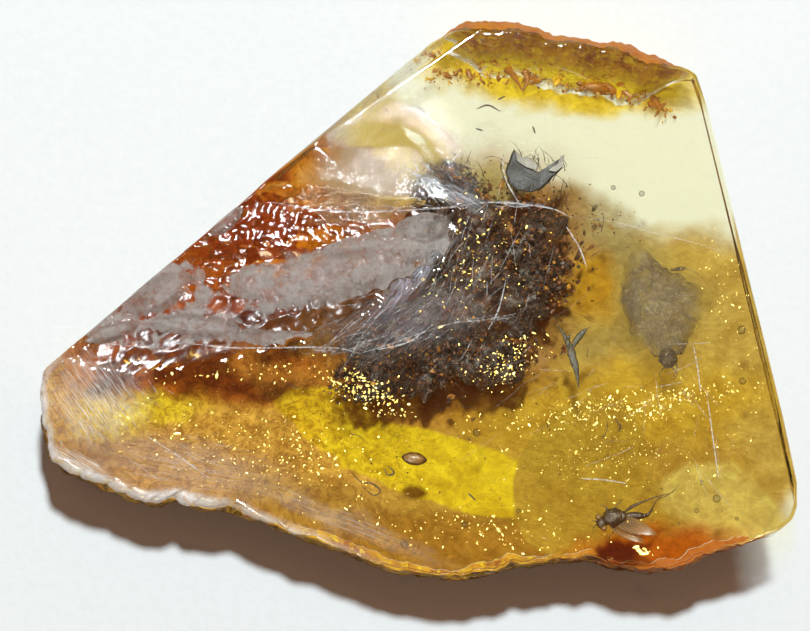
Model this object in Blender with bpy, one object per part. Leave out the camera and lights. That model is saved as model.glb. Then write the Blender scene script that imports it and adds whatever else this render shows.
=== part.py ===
"""A polished slab of amber with a fly, a broad insect and plant debris sealed inside.

The slab lies on its flat underside. X runs along its length, Y across it and Z up, and the origin is
the middle of its box at the underside. Lengths are in millimetres times MM, which makes them metres.
The amber is parted at mid height into an upper and a lower half, so that what is sealed in it can lie
in pockets that open on the parting.
"""

import math

import bmesh
import bpy
from mathutils import Matrix, Vector, noise

MM = 0.001

# Slab: heights above the underside
TOP_HEIGHT = 5.0 * MM
PARTING_HEIGHT = 2.5 * MM
GAP = 0.3 * MM

# Slab: plan outline, anticlockwise from the left end, in millimetres
CRUST_FRONT = [
    (-14.9, -3.0), (-15.1, -4.0), (-15.0, -4.9), (-14.7, -6.4), (-14.2, -6.9), (-12.9, -7.4),
    (-12.0, -7.8), (-11.5, -8.1), (-10.4, -8.2), (-9.7, -8.0), (-8.5, -8.4), (-7.8, -8.4),
    (-7.0, -8.6), (-5.9, -9.1), (-4.5, -9.6), (-3.9, -9.7), (-2.8, -10.2), (-1.7, -10.6),
    (-0.8, -11.0), (1.3, -11.2), (3.2, -10.9), (3.6, -10.7), (5.0, -10.6), (6.9, -10.4),
    (7.7, -10.8), (8.9, -10.9), (10.5, -10.8), (11.1, -10.4), (12.5, -9.9), (14.3, -9.4),
]
SAWN_RIGHT = [
    (14.3, -9.4), (14.9, -8.9), (15.1, -8.3), (15.1, -7.6), (14.5, -4.8), (13.2, 0.5), (11.5, 7.7),
    (11.1, 8.9),
]
CRUST_BACK = [
    (11.1, 8.9), (10.8, 9.2), (10.2, 9.4), (9.7, 9.8), (9.2, 9.8), (8.4, 10.2), (7.9, 10.4),
    (7.0, 10.4), (6.3, 10.6), (5.3, 10.7), (4.9, 10.9), (4.0, 11.1), (3.1, 11.1), (2.4, 11.2),
]
SAWN_LEFT = [(2.4, 11.2), (1.8, 11.1), (0.5, 10.2), (-14.9, -3.0)]
OUTLINE = [
    ("front", CRUST_FRONT),
    ("sawn", SAWN_RIGHT),
    ("back", CRUST_BACK),
    ("sawn", SAWN_LEFT),
]
CRUST_STEP = 0.4 * MM
SAWN_STEP = 2.4 * MM
CRUST_FADE = 1.4 * MM
NORMAL_REACH = 4

# Slab: how far its side lies inside the outline, as (height, inset) in millimetres
SIDE_PROFILES = {
    "sawn": [(0.0, 0.35), (0.2, 0.2), (5.7, 0.0)],
    "front": [
        (0.0, 1.1), (0.3, 0.75), (1.2, 0.2), (2.1, 0.0), (3.2, 0.1), (4.2, 0.45), (5.0, 1.0),
        (5.7, 1.9),
    ],
    "back": [
        (0.0, 2.2), (0.5, 1.8), (1.4, 0.9), (2.4, 0.25), (3.3, 0.0), (4.1, 0.35), (5.0, 1.2),
        (5.7, 2.2),
    ],
}
LOWER_LEVELS = [0.0, 0.3, 0.8, 1.4, 1.9]
UPPER_LEVELS = [3.1, 3.6, 4.1, 4.55, 5.1, 5.7]

# Slab: the natural crust is lumpy, with swells, knobs and small ledges
SWELL_SIZE = 2.2 * MM
SWELL_HEIGHT = 0.3 * MM
KNOB_SIZE = 0.75 * MM
KNOB_HEIGHT = 0.34 * MM

# Slab: ground facets of the top, which fall away from two low ridges; start, end in millimetres
BACK_RIDGE = ((-5.9, 3.8), (12.2, 1.7))
BACK_FALL = math.radians(3.6)
FRONT_RIDGE = ((12.0, -1.2), (-13.3, -1.9))
FRONT_FALL = math.radians(4.4)
EDGE_RIDGE = ((-4.2, 6.25), (1.9, 10.1))
EDGE_FALL = math.radians(38)
EDGE_DROP = 0.32 * MM
LEVEL_START = ((-20.0, -20.0), (20.0, -20.0))
GRINDER = 60 * MM
GRINDER_DEPTH = 8 * MM
GRINDER_OVERLAP = 2 * MM
EDGE_GRINDER = 8.4 * MM

# Slab: unpolished hollow that runs out through the left sawn edge
HOLLOW_CENTRE = Vector((-6.0, 1.0, 6.55)) * MM
HOLLOW_RADII = Vector((12.2, 4.3, 2.3)) * MM
HOLLOW_TURN = math.radians(20)
PEBBLE_SIZE = 1.0 * MM
PEBBLE_REACH = 0.62
PEBBLE_HEIGHT = 0.5 * MM

# Debris: a dark mass of plant crumbs, plan outline anticlockwise in millimetres
DEBRIS_OUTLINE = [
    (-0.5, 4.8), (0.3, 3.4), (0.3, 1.6), (-0.9, 0.0), (-2.7, -1.2), (-3.9, -2.0), (-4.3, -3.4),
    (-3.7, -4.8), (-1.9, -5.2), (0.1, -5.0), (1.5, -4.4), (3.3, -4.1), (5.0, -3.4), (4.7, -2.1),
    (5.7, -1.2), (6.7, 0.0), (7.3, 1.8), (7.0, 3.1), (5.7, 3.9), (4.1, 4.4), (2.7, 5.4), (1.3, 6.0),
    (-0.5, 5.9),
]
DEBRIS_STEP = 0.55 * MM
DEBRIS_LEVELS = [(1.45, 1.5), (1.6, 0.6), (1.95, 0.1), (2.35, 0.0), (2.75, 0.2), (3.0, 0.8), (3.1, 1.7)]
DEBRIS_LUMP = 0.3 * MM
DEBRIS_NORMAL_REACH = 3
DEBRIS_CLEARANCE = 0.8 * MM
DEBRIS_HEADROOM = 0.5

# Leaf scrap: black flake with raised flaps, anticlockwise from its left foot, in its own millimetres
SCRAP_PLACE = Vector((4.3, 5.0, 3.72)) * MM
SCRAP_OUTLINE = [
    (-0.8, -0.6), (-0.3, -0.85), (0.4, -0.75), (0.8, -0.3), (1.1, 0.05), (1.2, 0.6), (0.85, 0.15),
    (0.45, 0.05), (0.1, 0.3), (-0.25, 0.55), (-0.5, 1.0), (-0.6, 0.5), (-0.75, 0.1),
]
SCRAP_THICKNESS = 0.09 * MM
SCRAP_LIFT = 0.16 * MM

# Forked fleck: dark, with two arms and a tail, anticlockwise from its tail, in its own millimetres
FLECK_PLACE = Vector((6.1, -2.2, 3.6)) * MM
FLECK_OUTLINE = [
    (0.2, -1.5), (0.26, -1.45), (0.12, -0.3), (0.3, 0.35), (0.62, 0.75), (0.75, 0.95), (0.5, 0.9),
    (0.1, 0.45), (-0.25, 0.85), (-0.6, 1.15), (-0.5, 0.8), (-0.2, 0.3), (-0.12, -0.2), (0.0, -0.7),
]
FLECK_THICKNESS = 0.08 * MM
FLECK_LIFT = 0.05 * MM

# Seed: brown lens
SEED_PLACE = Vector((-0.15, -6.4, 2.9)) * MM
SEED_RADII = (0.52, 0.26, 0.2)
SEED_TURN = math.radians(-8)
SEED_SIDES = 14

# Fly: head to the left, hind legs trailing to the right, in its own millimetres
FLY_PLACE = Vector((8.1, -8.75, 2.75)) * MM
FLY_LOBES = {
    "thorax": ((-0.25, 0.02, 0.0), (0.46, 0.38, 0.32)),
    "head": ((-0.78, -0.2, -0.04), (0.23, 0.24, 0.21)),
    "eye_near": ((-0.66, -0.42, 0.0), (0.14, 0.13, 0.15)),
    "eye_far": ((-0.92, 0.04, 0.0), (0.14, 0.13, 0.15)),
    "neck": ((-0.58, -0.1, -0.02), (0.2, 0.14, 0.13)),
    "abdomen": ((0.55, 0.08, -0.02), (0.56, 0.17, 0.16)),
    "belly": ((0.32, -0.17, -0.06), (0.34, 0.18, 0.15)),
}
FLY_LEGS = {
    "hind_leg_far": [
        (0.1, 0.2, 0.0), (0.45, 0.45, 0.1), (1.35, 0.82, 0.12), (2.0, 1.0, 0.05), (2.3, 1.38, 0.0),
    ],
    "hind_leg_near": [
        (0.3, 0.05, -0.05), (1.04, 0.12, -0.1), (1.42, 0.7, 0.0), (1.78, 0.86, 0.0),
        (2.1, 1.12, -0.05),
    ],
    "fore_leg": [(-0.3, 0.25, 0.0), (-0.18, 0.48, 0.08), (0.02, 0.76, 0.05)],
    "mid_leg": [(-0.35, -0.2, -0.1), (-0.3, -0.5, -0.2), (-0.5, -0.78, -0.15)],
    "folded_leg": [(-0.1, -0.2, -0.15), (0.05, -0.42, -0.3), (-0.2, -0.5, -0.36)],
}
FLY_LEG_RADIUS = 0.045 * MM
FLY_SIDES = 12
FLY_WINGS = {
    "wing_upper": [
        (-0.3, -0.05), (0.2, -0.5), (0.75, -0.72), (1.25, -0.72), (1.35, -0.55), (1.0, -0.3),
        (0.2, 0.0),
    ],
    "wing_lower": [
        (-0.35, -0.1), (-0.1, -0.55), (0.35, -0.85), (0.85, -0.88), (0.95, -0.7), (0.5, -0.3),
        (-0.1, 0.0),
    ],
}
WING_THICKNESS = 0.05 * MM
WING_LIFT = 0.03 * MM
WING_HEIGHTS = {"wing_upper": 0.1 * MM, "wing_lower": -0.12 * MM}

# Broad insect: flat round body that narrows toward the viewer to its head, in its own millimetres
BROAD_PLACE = Vector((9.85, -0.2, 2.65)) * MM
BROAD_LOBES = {
    "body": ((-0.1, 0.55, 0.0), (1.5, 1.6, 0.5)),
    "shoulders": ((0.05, -0.95, 0.0), (0.98, 0.85, 0.42)),
    "head": ((0.22, -1.95, 0.0), (0.42, 0.5, 0.3)),
}
BROAD_LEGS = {
    "mouth_leg": [(0.2, -2.1, 0.0), (0.42, -2.6, 0.05), (0.34, -2.92, 0.0)],
    "side_leg": [(0.9, 1.3, 0.1), (1.35, 1.3, 0.22), (1.72, 0.9, 0.2), (1.8, 0.4, 0.1)],
    "front_leg": [(-0.6, -1.1, 0.0), (-1.1, -1.45, 0.1), (-1.25, -1.9, 0.05)],
}
BROAD_LEG_RADIUS = 0.075 * MM
BROAD_SIDES = 18
BROAD_LUMP = 0.1 * MM
BROAD_LUMP_SIZE = 0.8 * MM

# Colours, roughness and cover of each material
FINISHES = {
    "amber": ((0.85, 0.5, 0.06), 0.12, 0.45),
    "debris": ((0.05, 0.03, 0.015), 0.7, 1.0),
    "leaf": ((0.02, 0.02, 0.02), 0.6, 1.0),
    "fleck": ((0.04, 0.035, 0.02), 0.6, 1.0),
    "seed": ((0.25, 0.12, 0.03), 0.45, 1.0),
    "fly": ((0.06, 0.035, 0.02), 0.45, 1.0),
    "broad_insect": ((0.22, 0.18, 0.1), 0.65, 1.0),
}


def clear_objects():
    """Remove every object, so that the file starts empty."""
    for item in list(bpy.data.objects):
        bpy.data.objects.remove(item, do_unlink=True)


def finish(name):
    """Principled material of one finish."""
    color, roughness, cover = FINISHES[name]
    material = bpy.data.materials.new(name)
    material.use_nodes = True
    shader = material.node_tree.nodes["Principled BSDF"]
    shader.inputs["Base Color"].default_value = (*color, 1.0)
    shader.inputs["Roughness"].default_value = roughness
    shader.inputs["Metallic"].default_value = 0.0
    shader.inputs["Alpha"].default_value = cover
    return material


def add_object(name, mesh, collection, parent):
    """Object of a mesh, in one collection and under one parent."""
    item = bpy.data.objects.new(name, mesh)
    collection.objects.link(item)
    item.parent = parent
    return item


def at_height(profile, height):
    """Inset of a side profile at a height, on straight runs between its points."""
    level = height / MM
    for (low, low_inset), (high, high_inset) in zip(profile, profile[1:]):
        if level <= high:
            share = (level - low) / (high - low)
            return (low_inset + share * (high_inset - low_inset)) * MM
    return profile[-1][1] * MM


def walk(points, step):
    """Even samples along an open line of points in millimetres, its last point left off."""
    samples = []
    for start, end in zip(points, points[1:]):
        start = Vector(start) * MM
        end = Vector(end) * MM
        count = max(1, round((end - start).length / step))
        samples += [start.lerp(end, index / count) for index in range(count)]
    return samples


def outward_normals(points, reach):
    """Outward normal at each point of an anticlockwise ring, eased over its neighbours."""
    count = len(points)
    normals = []
    for index in range(count):
        along = points[(index + reach) % count] - points[index - reach]
        normals.append(Vector((along.y, -along.x)).normalized())
    return normals


def rough(place, swell, knob):
    """Swells with small knobs on them, read from a solid noise at the place itself."""
    broad = noise.noise(place / SWELL_SIZE) * swell
    fine = noise.noise(place / KNOB_SIZE + Vector((7.3, 3.1, 1.7))) * knob
    return broad + fine


def outline_samples():
    """Samples of the slab's outline: place, outward normal, kind of side and share of crust."""
    places = []
    kinds = []
    shares = []
    for kind, points in OUTLINE:
        sawn = kind == "sawn"
        stretch = walk(points, SAWN_STEP if sawn else CRUST_STEP)
        from_end = [min(index, len(stretch) - index) * CRUST_STEP for index in range(len(stretch))]
        places += stretch
        kinds += [kind] * len(stretch)
        shares += [0.0 if sawn else min(1.0, reach / CRUST_FADE) for reach in from_end]
    return list(zip(places, outward_normals(places, NORMAL_REACH), kinds, shares))


def slab_section(samples, height):
    """Ring of the slab at one height: sawn sides stay straight, crusted ones bulge and are lumpy."""
    ring = []
    for place, outward, kind, share in samples:
        inset = (1 - share) * at_height(SIDE_PROFILES["sawn"], height)
        inset += share * at_height(SIDE_PROFILES[kind], height)
        point = Vector((place.x, place.y, height))
        lump = share * rough(point, SWELL_HEIGHT, KNOB_HEIGHT)
        ring.append(point + Vector((*outward, 0.0)) * (lump - inset))
    return ring


def closed_loft(name, rings):
    """Closed mesh through a stack of rings with equal point counts, capped at both ends."""
    shape = bmesh.new()
    loops = [[shape.verts.new(point) for point in ring] for ring in rings]
    for low, high in zip(loops, loops[1:]):
        for index, corner in enumerate(low):
            after = (index + 1) % len(low)
            shape.faces.new((corner, low[after], high[after], high[index]))
    shape.faces.new(list(reversed(loops[0])))
    shape.faces.new(loops[-1])
    mesh = bpy.data.meshes.new(name)
    shape.to_mesh(mesh)
    shape.free()
    return mesh


def amber_half(name, levels, collection, parent):
    """One half of the slab, lofted through its sections."""
    samples = outline_samples()
    rings = [slab_section(samples, level) for level in levels]
    return add_object(name, closed_loft(name, rings), collection, parent)


def cut_away(item, cutter):
    """Boolean cut of one object by a cutter."""
    cut = item.modifiers.new(f"cut_{cutter.name}", "BOOLEAN")
    cut.operation = "DIFFERENCE"
    cut.object = cutter


def fuse(item, piece):
    """Boolean union of one object with a guide piece."""
    union = item.modifiers.new(f"fuse_{piece.name}", "BOOLEAN")
    union.operation = "UNION"
    union.object = piece


def as_cutter(item):
    """Mark an object as a guide that only shapes others."""
    item.hide_render = True
    item.display_type = "WIRE"
    return item


def box_mesh(name, low, high):
    """Closed box between two corners."""
    low = Vector(low)
    high = Vector(high)
    size = high - low
    shape = bmesh.new()
    bmesh.ops.create_cube(shape, size=1.0)
    bmesh.ops.scale(shape, vec=size, verts=shape.verts)
    bmesh.ops.translate(shape, vec=(low + high) / 2, verts=shape.verts)
    mesh = bpy.data.meshes.new(name)
    shape.to_mesh(mesh)
    shape.free()
    return mesh


def facet_cutter(name, ridge, height, fall, length, collection, parent):
    """Box above a plane that falls away to the left of a ridge line by an angle."""
    start = Vector((*ridge[0], 0.0)) * MM
    end = Vector((*ridge[1], 0.0)) * MM
    along = (end - start).normalized()
    across = Vector((-along.y, along.x, 0.0))
    down = across * math.cos(fall) - Vector((0.0, 0.0, math.sin(fall)))
    above = along.cross(down)
    turn = Matrix((along, down, above)).transposed().to_4x4()
    middle = (start + end) / 2 + Vector((0.0, 0.0, height))
    low = (-length / 2, -GRINDER_OVERLAP, 0.0)
    high = (length / 2, GRINDER, GRINDER_DEPTH)
    cutter = add_object(name, box_mesh(name, low, high), collection, parent)
    cutter.matrix_local = Matrix.Translation(middle) @ turn
    return as_cutter(cutter)


def hollow_cutter(collection, parent):
    """Flattened sphere whose skin is dimpled by pebbles, each the rounded middle of a cell."""
    shape = bmesh.new()
    bmesh.ops.create_icosphere(shape, subdivisions=5, radius=1.0)
    turn = Matrix.Rotation(HOLLOW_TURN, 3, "Z")
    for vertex in shape.verts:
        place = HOLLOW_CENTRE + turn @ (vertex.co * HOLLOW_RADII)
        flat = Vector((place.x, place.y, 0.0))
        nearest = noise.voronoi(flat / PEBBLE_SIZE)[0][0]
        pebble = PEBBLE_HEIGHT * max(0.0, PEBBLE_REACH - nearest)
        vertex.co = place + Vector((0.0, 0.0, pebble))
    mesh = bpy.data.meshes.new("pebbled_hollow")
    shape.to_mesh(mesh)
    shape.free()
    return as_cutter(add_object("pebbled_hollow", mesh, collection, parent))


def pocket_cutter(name, item, collection, parent):
    """Box around a sealed piece, clear of it by the gap on every side."""
    low, high = local_box(item)
    room = Vector((GAP, GAP, GAP))
    return as_cutter(add_object(name, box_mesh(name, low - room, high + room), collection, parent))


def local_box(item):
    """Lowest and highest corners of an evaluated object in its parent's frame."""
    bpy.context.view_layer.update()
    evaluated = item.evaluated_get(bpy.context.evaluated_depsgraph_get())
    corners = [item.matrix_local @ vertex.co for vertex in evaluated.data.vertices]
    low = Vector([min(corner[axis] for corner in corners) for axis in range(3)])
    high = Vector([max(corner[axis] for corner in corners) for axis in range(3)])
    return low, high


def debris_rings(grow, levels, lump):
    """Rings of the debris outline, each inset as its level says, grown by a clearance."""
    places = walk(DEBRIS_OUTLINE + DEBRIS_OUTLINE[:1], DEBRIS_STEP)
    normals = outward_normals(places, DEBRIS_NORMAL_REACH)
    rings = []
    for height, inset in levels:
        ring = []
        for place, outward in zip(places, normals):
            point = Vector((place.x, place.y, height * MM))
            reach = grow + rough(point, lump, lump) - inset * MM
            heap = lump * noise.noise(point / KNOB_SIZE)
            ring.append(point + Vector((*(outward * reach), heap)))
        rings.append(ring)
    return rings


def debris_clump(collection, parent):
    """Lumpy pillow with the plan of the dark mass."""
    rings = debris_rings(0.0, DEBRIS_LEVELS, DEBRIS_LUMP)
    return add_object("debris_clump", closed_loft("debris_clump", rings), collection, parent)


def debris_pocket(collection, parent):
    """Straight-sided room around the debris, clear of its lumps."""
    low = DEBRIS_LEVELS[0][0] - DEBRIS_HEADROOM
    high = DEBRIS_LEVELS[-1][0] + DEBRIS_HEADROOM
    rings = debris_rings(DEBRIS_CLEARANCE, [(low, 0.0), (high, 0.0)], 0.0)
    return as_cutter(add_object("pocket_debris", closed_loft("pocket_debris", rings), collection, parent))


def flake(name, outline, thickness, place, lift, collection, parent):
    """Thin curled flake: a flat outline with thickness, its tips lifted as a saddle."""
    curve = bpy.data.curves.new(name, "CURVE")
    curve.dimensions = "2D"
    curve.fill_mode = "BOTH"
    curve.extrude = thickness / 2
    line = curve.splines.new("POLY")
    line.points.add(len(outline) - 1)
    for point, (x, y) in zip(line.points, outline):
        point.co = (x * MM, y * MM, 0.0, 1.0)
    line.use_cyclic_u = True
    mesh = curve_mesh(curve, thickness / 100)
    for vertex in mesh.vertices:
        across = vertex.co.x / MM
        along = vertex.co.y / MM
        vertex.co.z += lift * (across * across - 0.6 * along * along + 0.4 * across * along)
    item = add_object(name, mesh, collection, parent)
    item.location = place
    return item


def curve_mesh(curve, weld):
    """Mesh of a curve with its caps welded on."""
    guide = bpy.data.objects.new("curve_guide", curve)
    bpy.context.scene.collection.objects.link(guide)
    bpy.context.view_layer.update()
    evaluated = guide.evaluated_get(bpy.context.evaluated_depsgraph_get())
    mesh = bpy.data.meshes.new_from_object(evaluated)
    shape = bmesh.new()
    shape.from_mesh(mesh)
    bmesh.ops.remove_doubles(shape, verts=shape.verts, dist=weld)
    bmesh.ops.recalc_face_normals(shape, faces=shape.faces)
    shape.to_mesh(mesh)
    shape.free()
    bpy.data.objects.remove(guide, do_unlink=True)
    return mesh


def leg_mesh(points, radius):
    """Jointed leg: a tube along points in millimetres that thins toward its foot."""
    curve = bpy.data.curves.new("leg", "CURVE")
    curve.dimensions = "3D"
    curve.bevel_depth = radius
    curve.bevel_resolution = 1
    curve.use_fill_caps = True
    line = curve.splines.new("POLY")
    line.points.add(len(points) - 1)
    for index, (point, place) in enumerate(zip(line.points, points)):
        point.co = (*(Vector(place) * MM), 1.0)
        point.radius = 1.0 - 0.4 * index / (len(points) - 1)
    return curve_mesh(curve, radius / 100)


def lobe_mesh(name, centre, radii, segments):
    """Egg of three half widths about a centre, in millimetres."""
    shape = bmesh.new()
    bmesh.ops.create_uvsphere(shape, u_segments=segments, v_segments=segments // 2 + 1, radius=1.0)
    bmesh.ops.scale(shape, vec=Vector(radii) * MM, verts=shape.verts)
    bmesh.ops.translate(shape, vec=Vector(centre) * MM, verts=shape.verts)
    mesh = bpy.data.meshes.new(name)
    shape.to_mesh(mesh)
    shape.free()
    return mesh


def fused_insect(name, lobes, legs, leg_radius, segments, place, collection, guides, parent):
    """Insect whose lobes and legs are joined in one solid; the first lobe carries the others."""
    main = next(iter(lobes))
    body = add_object(name, lobe_mesh(name, *lobes[main], segments), collection, parent)
    body.location = place
    pieces = [
        (piece, lobe_mesh(piece, *lobes[piece], segments - 2)) for piece in lobes if piece != main
    ]
    pieces += [(piece, leg_mesh(points, leg_radius)) for piece, points in legs.items()]
    for piece, mesh in pieces:
        guide = as_cutter(add_object(f"{name}_{piece}", mesh, guides, parent))
        guide.location = place
        fuse(body, guide)
    return body


def fly(collection, guides, parent):
    """Small fly: lobes, legs and two thin wings in one solid."""
    body = fused_insect(
        "fly", FLY_LOBES, FLY_LEGS, FLY_LEG_RADIUS, FLY_SIDES, FLY_PLACE, collection, guides, parent
    )
    for wing, outline in FLY_WINGS.items():
        place = FLY_PLACE + Vector((0.0, 0.0, WING_HEIGHTS[wing]))
        guide = as_cutter(flake(wing, outline, WING_THICKNESS, place, WING_LIFT, guides, parent))
        fuse(body, guide)
    return body


def broad_insect(collection, guides, parent):
    """Broad flat insect with an uneven skin."""
    body = fused_insect(
        "broad_insect", BROAD_LOBES, BROAD_LEGS, BROAD_LEG_RADIUS, BROAD_SIDES, BROAD_PLACE,
        collection, guides, parent,
    )
    for vertex in body.data.vertices:
        swell = noise.noise(vertex.co / BROAD_LUMP_SIZE)
        vertex.co += vertex.co.normalized() * BROAD_LUMP * swell
    return body


def seed(collection, parent):
    """Small lens-shaped seed."""
    mesh = lobe_mesh("seed", (0.0, 0.0, 0.0), SEED_RADII, SEED_SIDES)
    item = add_object("seed", mesh, collection, parent)
    item.location = SEED_PLACE
    item.rotation_euler = (0.0, 0.0, SEED_TURN)
    return item


def centre_slab(halves, slab_frame):
    """Move the slab's frame so that the middle of its box is over the origin."""
    boxes = [local_box(half) for half in halves]
    low = Vector([min(box[0][axis] for box in boxes) for axis in range(2)])
    high = Vector([max(box[1][axis] for box in boxes) for axis in range(2)])
    middle = (low + high) / 2
    slab_frame.location = (-middle.x, -middle.y, 0.0)


def build():
    """Make every piece, then cut the amber round what is sealed in it."""
    clear_objects()
    parts = bpy.data.collections.new("insect_in_amber")
    guides = bpy.data.collections.new("cutters")
    bpy.context.scene.collection.children.link(parts)
    bpy.context.scene.collection.children.link(guides)
    slab_frame = bpy.data.objects.new("slab_frame", None)
    parts.objects.link(slab_frame)

    parting_low = PARTING_HEIGHT - GAP / 2
    parting_high = PARTING_HEIGHT + GAP / 2
    lower_levels = [level * MM for level in LOWER_LEVELS] + [parting_low]
    upper_levels = [parting_high] + [level * MM for level in UPPER_LEVELS]
    lower = amber_half("amber_lower", lower_levels, parts, slab_frame)
    upper = amber_half("amber_upper", upper_levels, parts, slab_frame)

    sealed = {
        "debris": debris_clump(parts, slab_frame),
        "leaf": flake(
            "leaf_scrap", SCRAP_OUTLINE, SCRAP_THICKNESS, SCRAP_PLACE, SCRAP_LIFT, parts, slab_frame
        ),
        "fleck": flake(
            "forked_fleck", FLECK_OUTLINE, FLECK_THICKNESS, FLECK_PLACE, FLECK_LIFT, parts, slab_frame
        ),
        "seed": seed(parts, slab_frame),
        "fly": fly(parts, guides, slab_frame),
        "broad_insect": broad_insect(parts, guides, slab_frame),
    }

    ground = [
        facet_cutter("ground_middle", LEVEL_START, TOP_HEIGHT, 0.0, GRINDER, guides, slab_frame),
        facet_cutter("ground_back", BACK_RIDGE, TOP_HEIGHT, BACK_FALL, GRINDER, guides, slab_frame),
        facet_cutter("ground_front", FRONT_RIDGE, TOP_HEIGHT, FRONT_FALL, GRINDER, guides, slab_frame),
        facet_cutter(
            "ground_edge", EDGE_RIDGE, TOP_HEIGHT - EDGE_DROP, EDGE_FALL, EDGE_GRINDER, guides, slab_frame
        ),
        hollow_cutter(guides, slab_frame),
    ]
    for cutter in ground:
        cut_away(upper, cutter)

    pockets = [debris_pocket(guides, slab_frame)]
    pockets += [
        pocket_cutter(f"pocket_{name}", item, guides, slab_frame)
        for name, item in sealed.items()
        if name != "debris"
    ]
    for pocket in pockets:
        cut_away(upper, pocket)
        cut_away(lower, pocket)

    amber = finish("amber")
    upper.data.materials.append(amber)
    lower.data.materials.append(amber)
    for name, item in sealed.items():
        item.data.materials.append(finish(name))
        item.data.shade_smooth()
    centre_slab([upper, lower], slab_frame)


build()
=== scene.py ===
"""Insect in amber: the finished surfaces of a polished amber slab and of all that is sealed in it.

The slab lies on its flat underside and is seen almost straight from above. Plan places are written in
the slab's own millimetres: X along its length, Y across it, Z up from its underside.
"""

import math
from functools import lru_cache

import bpy
import numpy as np
from bpy.props import FloatProperty, FloatVectorProperty, IntProperty, PointerProperty
from bpy.types import Operator, Panel, PropertyGroup
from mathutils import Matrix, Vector


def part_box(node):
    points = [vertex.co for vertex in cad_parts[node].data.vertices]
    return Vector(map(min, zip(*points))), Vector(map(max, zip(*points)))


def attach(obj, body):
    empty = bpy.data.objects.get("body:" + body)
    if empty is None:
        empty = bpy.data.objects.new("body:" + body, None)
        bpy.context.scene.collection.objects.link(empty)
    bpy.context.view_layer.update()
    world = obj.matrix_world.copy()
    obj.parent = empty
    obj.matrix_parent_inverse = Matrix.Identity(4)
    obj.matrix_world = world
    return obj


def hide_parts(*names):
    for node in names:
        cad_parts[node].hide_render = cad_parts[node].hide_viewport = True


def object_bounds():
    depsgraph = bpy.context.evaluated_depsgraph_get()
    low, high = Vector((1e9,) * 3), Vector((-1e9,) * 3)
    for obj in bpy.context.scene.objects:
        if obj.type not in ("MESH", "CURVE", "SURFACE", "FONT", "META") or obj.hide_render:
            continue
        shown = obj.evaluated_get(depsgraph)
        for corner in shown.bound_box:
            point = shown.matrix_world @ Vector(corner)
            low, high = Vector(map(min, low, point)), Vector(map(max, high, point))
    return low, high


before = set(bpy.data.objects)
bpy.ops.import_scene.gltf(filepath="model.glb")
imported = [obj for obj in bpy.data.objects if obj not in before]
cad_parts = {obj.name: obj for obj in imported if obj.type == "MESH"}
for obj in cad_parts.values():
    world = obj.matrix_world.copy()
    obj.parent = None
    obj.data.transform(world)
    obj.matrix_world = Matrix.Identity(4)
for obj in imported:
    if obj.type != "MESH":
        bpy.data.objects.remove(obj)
CAD_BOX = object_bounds()

bl_info = {
    "name": "Insect in Amber",
    "version": (1, 0, 0),
    "blender": (4, 5, 0),
    "location": "View3D > Sidebar > Amber",
    "description": "Builds a polished amber slab with its inclusions, its floor and its light",
    "category": "Object",
}

MM = 0.001

# The seed's middle is known in the slab's own plan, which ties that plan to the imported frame.
SEED_PLACE = (-0.15, -6.4, 2.9)
SEED_BOX = np.array(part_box("seed"))
PLAN_SHIFT = (SEED_BOX.mean(axis=0) / MM - np.array(SEED_PLACE)) * (1, 1, 0)

# Slab outline, anticlockwise from the left end, in millimetres
CRUST_FRONT = [
    (-14.9, -3.0), (-15.1, -4.0), (-15.0, -4.9), (-14.7, -6.4), (-14.2, -6.9), (-12.9, -7.4),
    (-12.0, -7.8), (-11.5, -8.1), (-10.4, -8.2), (-9.7, -8.0), (-8.5, -8.4), (-7.8, -8.4),
    (-7.0, -8.6), (-5.9, -9.1), (-4.5, -9.6), (-3.9, -9.7), (-2.8, -10.2), (-1.7, -10.6),
    (-0.8, -11.0), (1.3, -11.2), (3.2, -10.9), (3.6, -10.7), (5.0, -10.6), (6.9, -10.4),
    (7.7, -10.8), (8.9, -10.9), (10.5, -10.8), (11.1, -10.4), (12.5, -9.9), (14.3, -9.4),
]
SAWN_RIGHT = [
    (14.3, -9.4), (14.9, -8.9), (15.1, -8.3), (15.1, -7.6), (14.5, -4.8), (13.2, 0.5), (11.5, 7.7),
    (11.1, 8.9),
]
CRUST_BACK = [
    (11.1, 8.9), (10.8, 9.2), (10.2, 9.4), (9.7, 9.8), (9.2, 9.8), (8.4, 10.2), (7.9, 10.4),
    (7.0, 10.4), (6.3, 10.6), (5.3, 10.7), (4.9, 10.9), (4.0, 11.1), (3.1, 11.1), (2.4, 11.2),
    (1.8, 11.1), (0.5, 10.2),
]
SAWN_LEFT = [(0.5, 10.2), (-14.9, -3.0)]
CRUST_FADE = 1.8

# Side profiles: height and inset from the outline
SIDE_PROFILES = {
    "sawn": [(0.0, 0.1), (0.15, 0.03), (5.7, 0.0)],
    "front": [
        (0.0, 0.6), (0.3, 0.35), (1.2, 0.12), (2.1, 0.03), (3.2, 0.0), (4.2, 0.06), (5.0, 0.22),
        (5.7, 0.6),
    ],
    "back": [
        (0.0, 2.2), (0.5, 1.8), (1.4, 0.9), (2.4, 0.25), (3.3, 0.0), (4.1, 0.3), (5.0, 0.85),
        (5.7, 1.6),
    ],
}
SLAB_CENTRE = np.array([1.0, -1.5])
OUTLINE_SAMPLES = 4000

# Ground facets of the top: start and end of each low ridge, drop below the top, fall in degrees
TOP_HEIGHT = 5.0
LEVEL_DROP = 0.012
FACETS = [
    (((-5.9, 3.8), (12.2, 1.7)), 0.0, 3.6),
    (((12.0, -1.2), (-13.3, -1.9)), 0.0, 4.4),
    (((-4.2, 6.25), (1.9, 10.1)), 0.32, 38.0),
]
FACET_BLEND = 0.03

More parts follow.
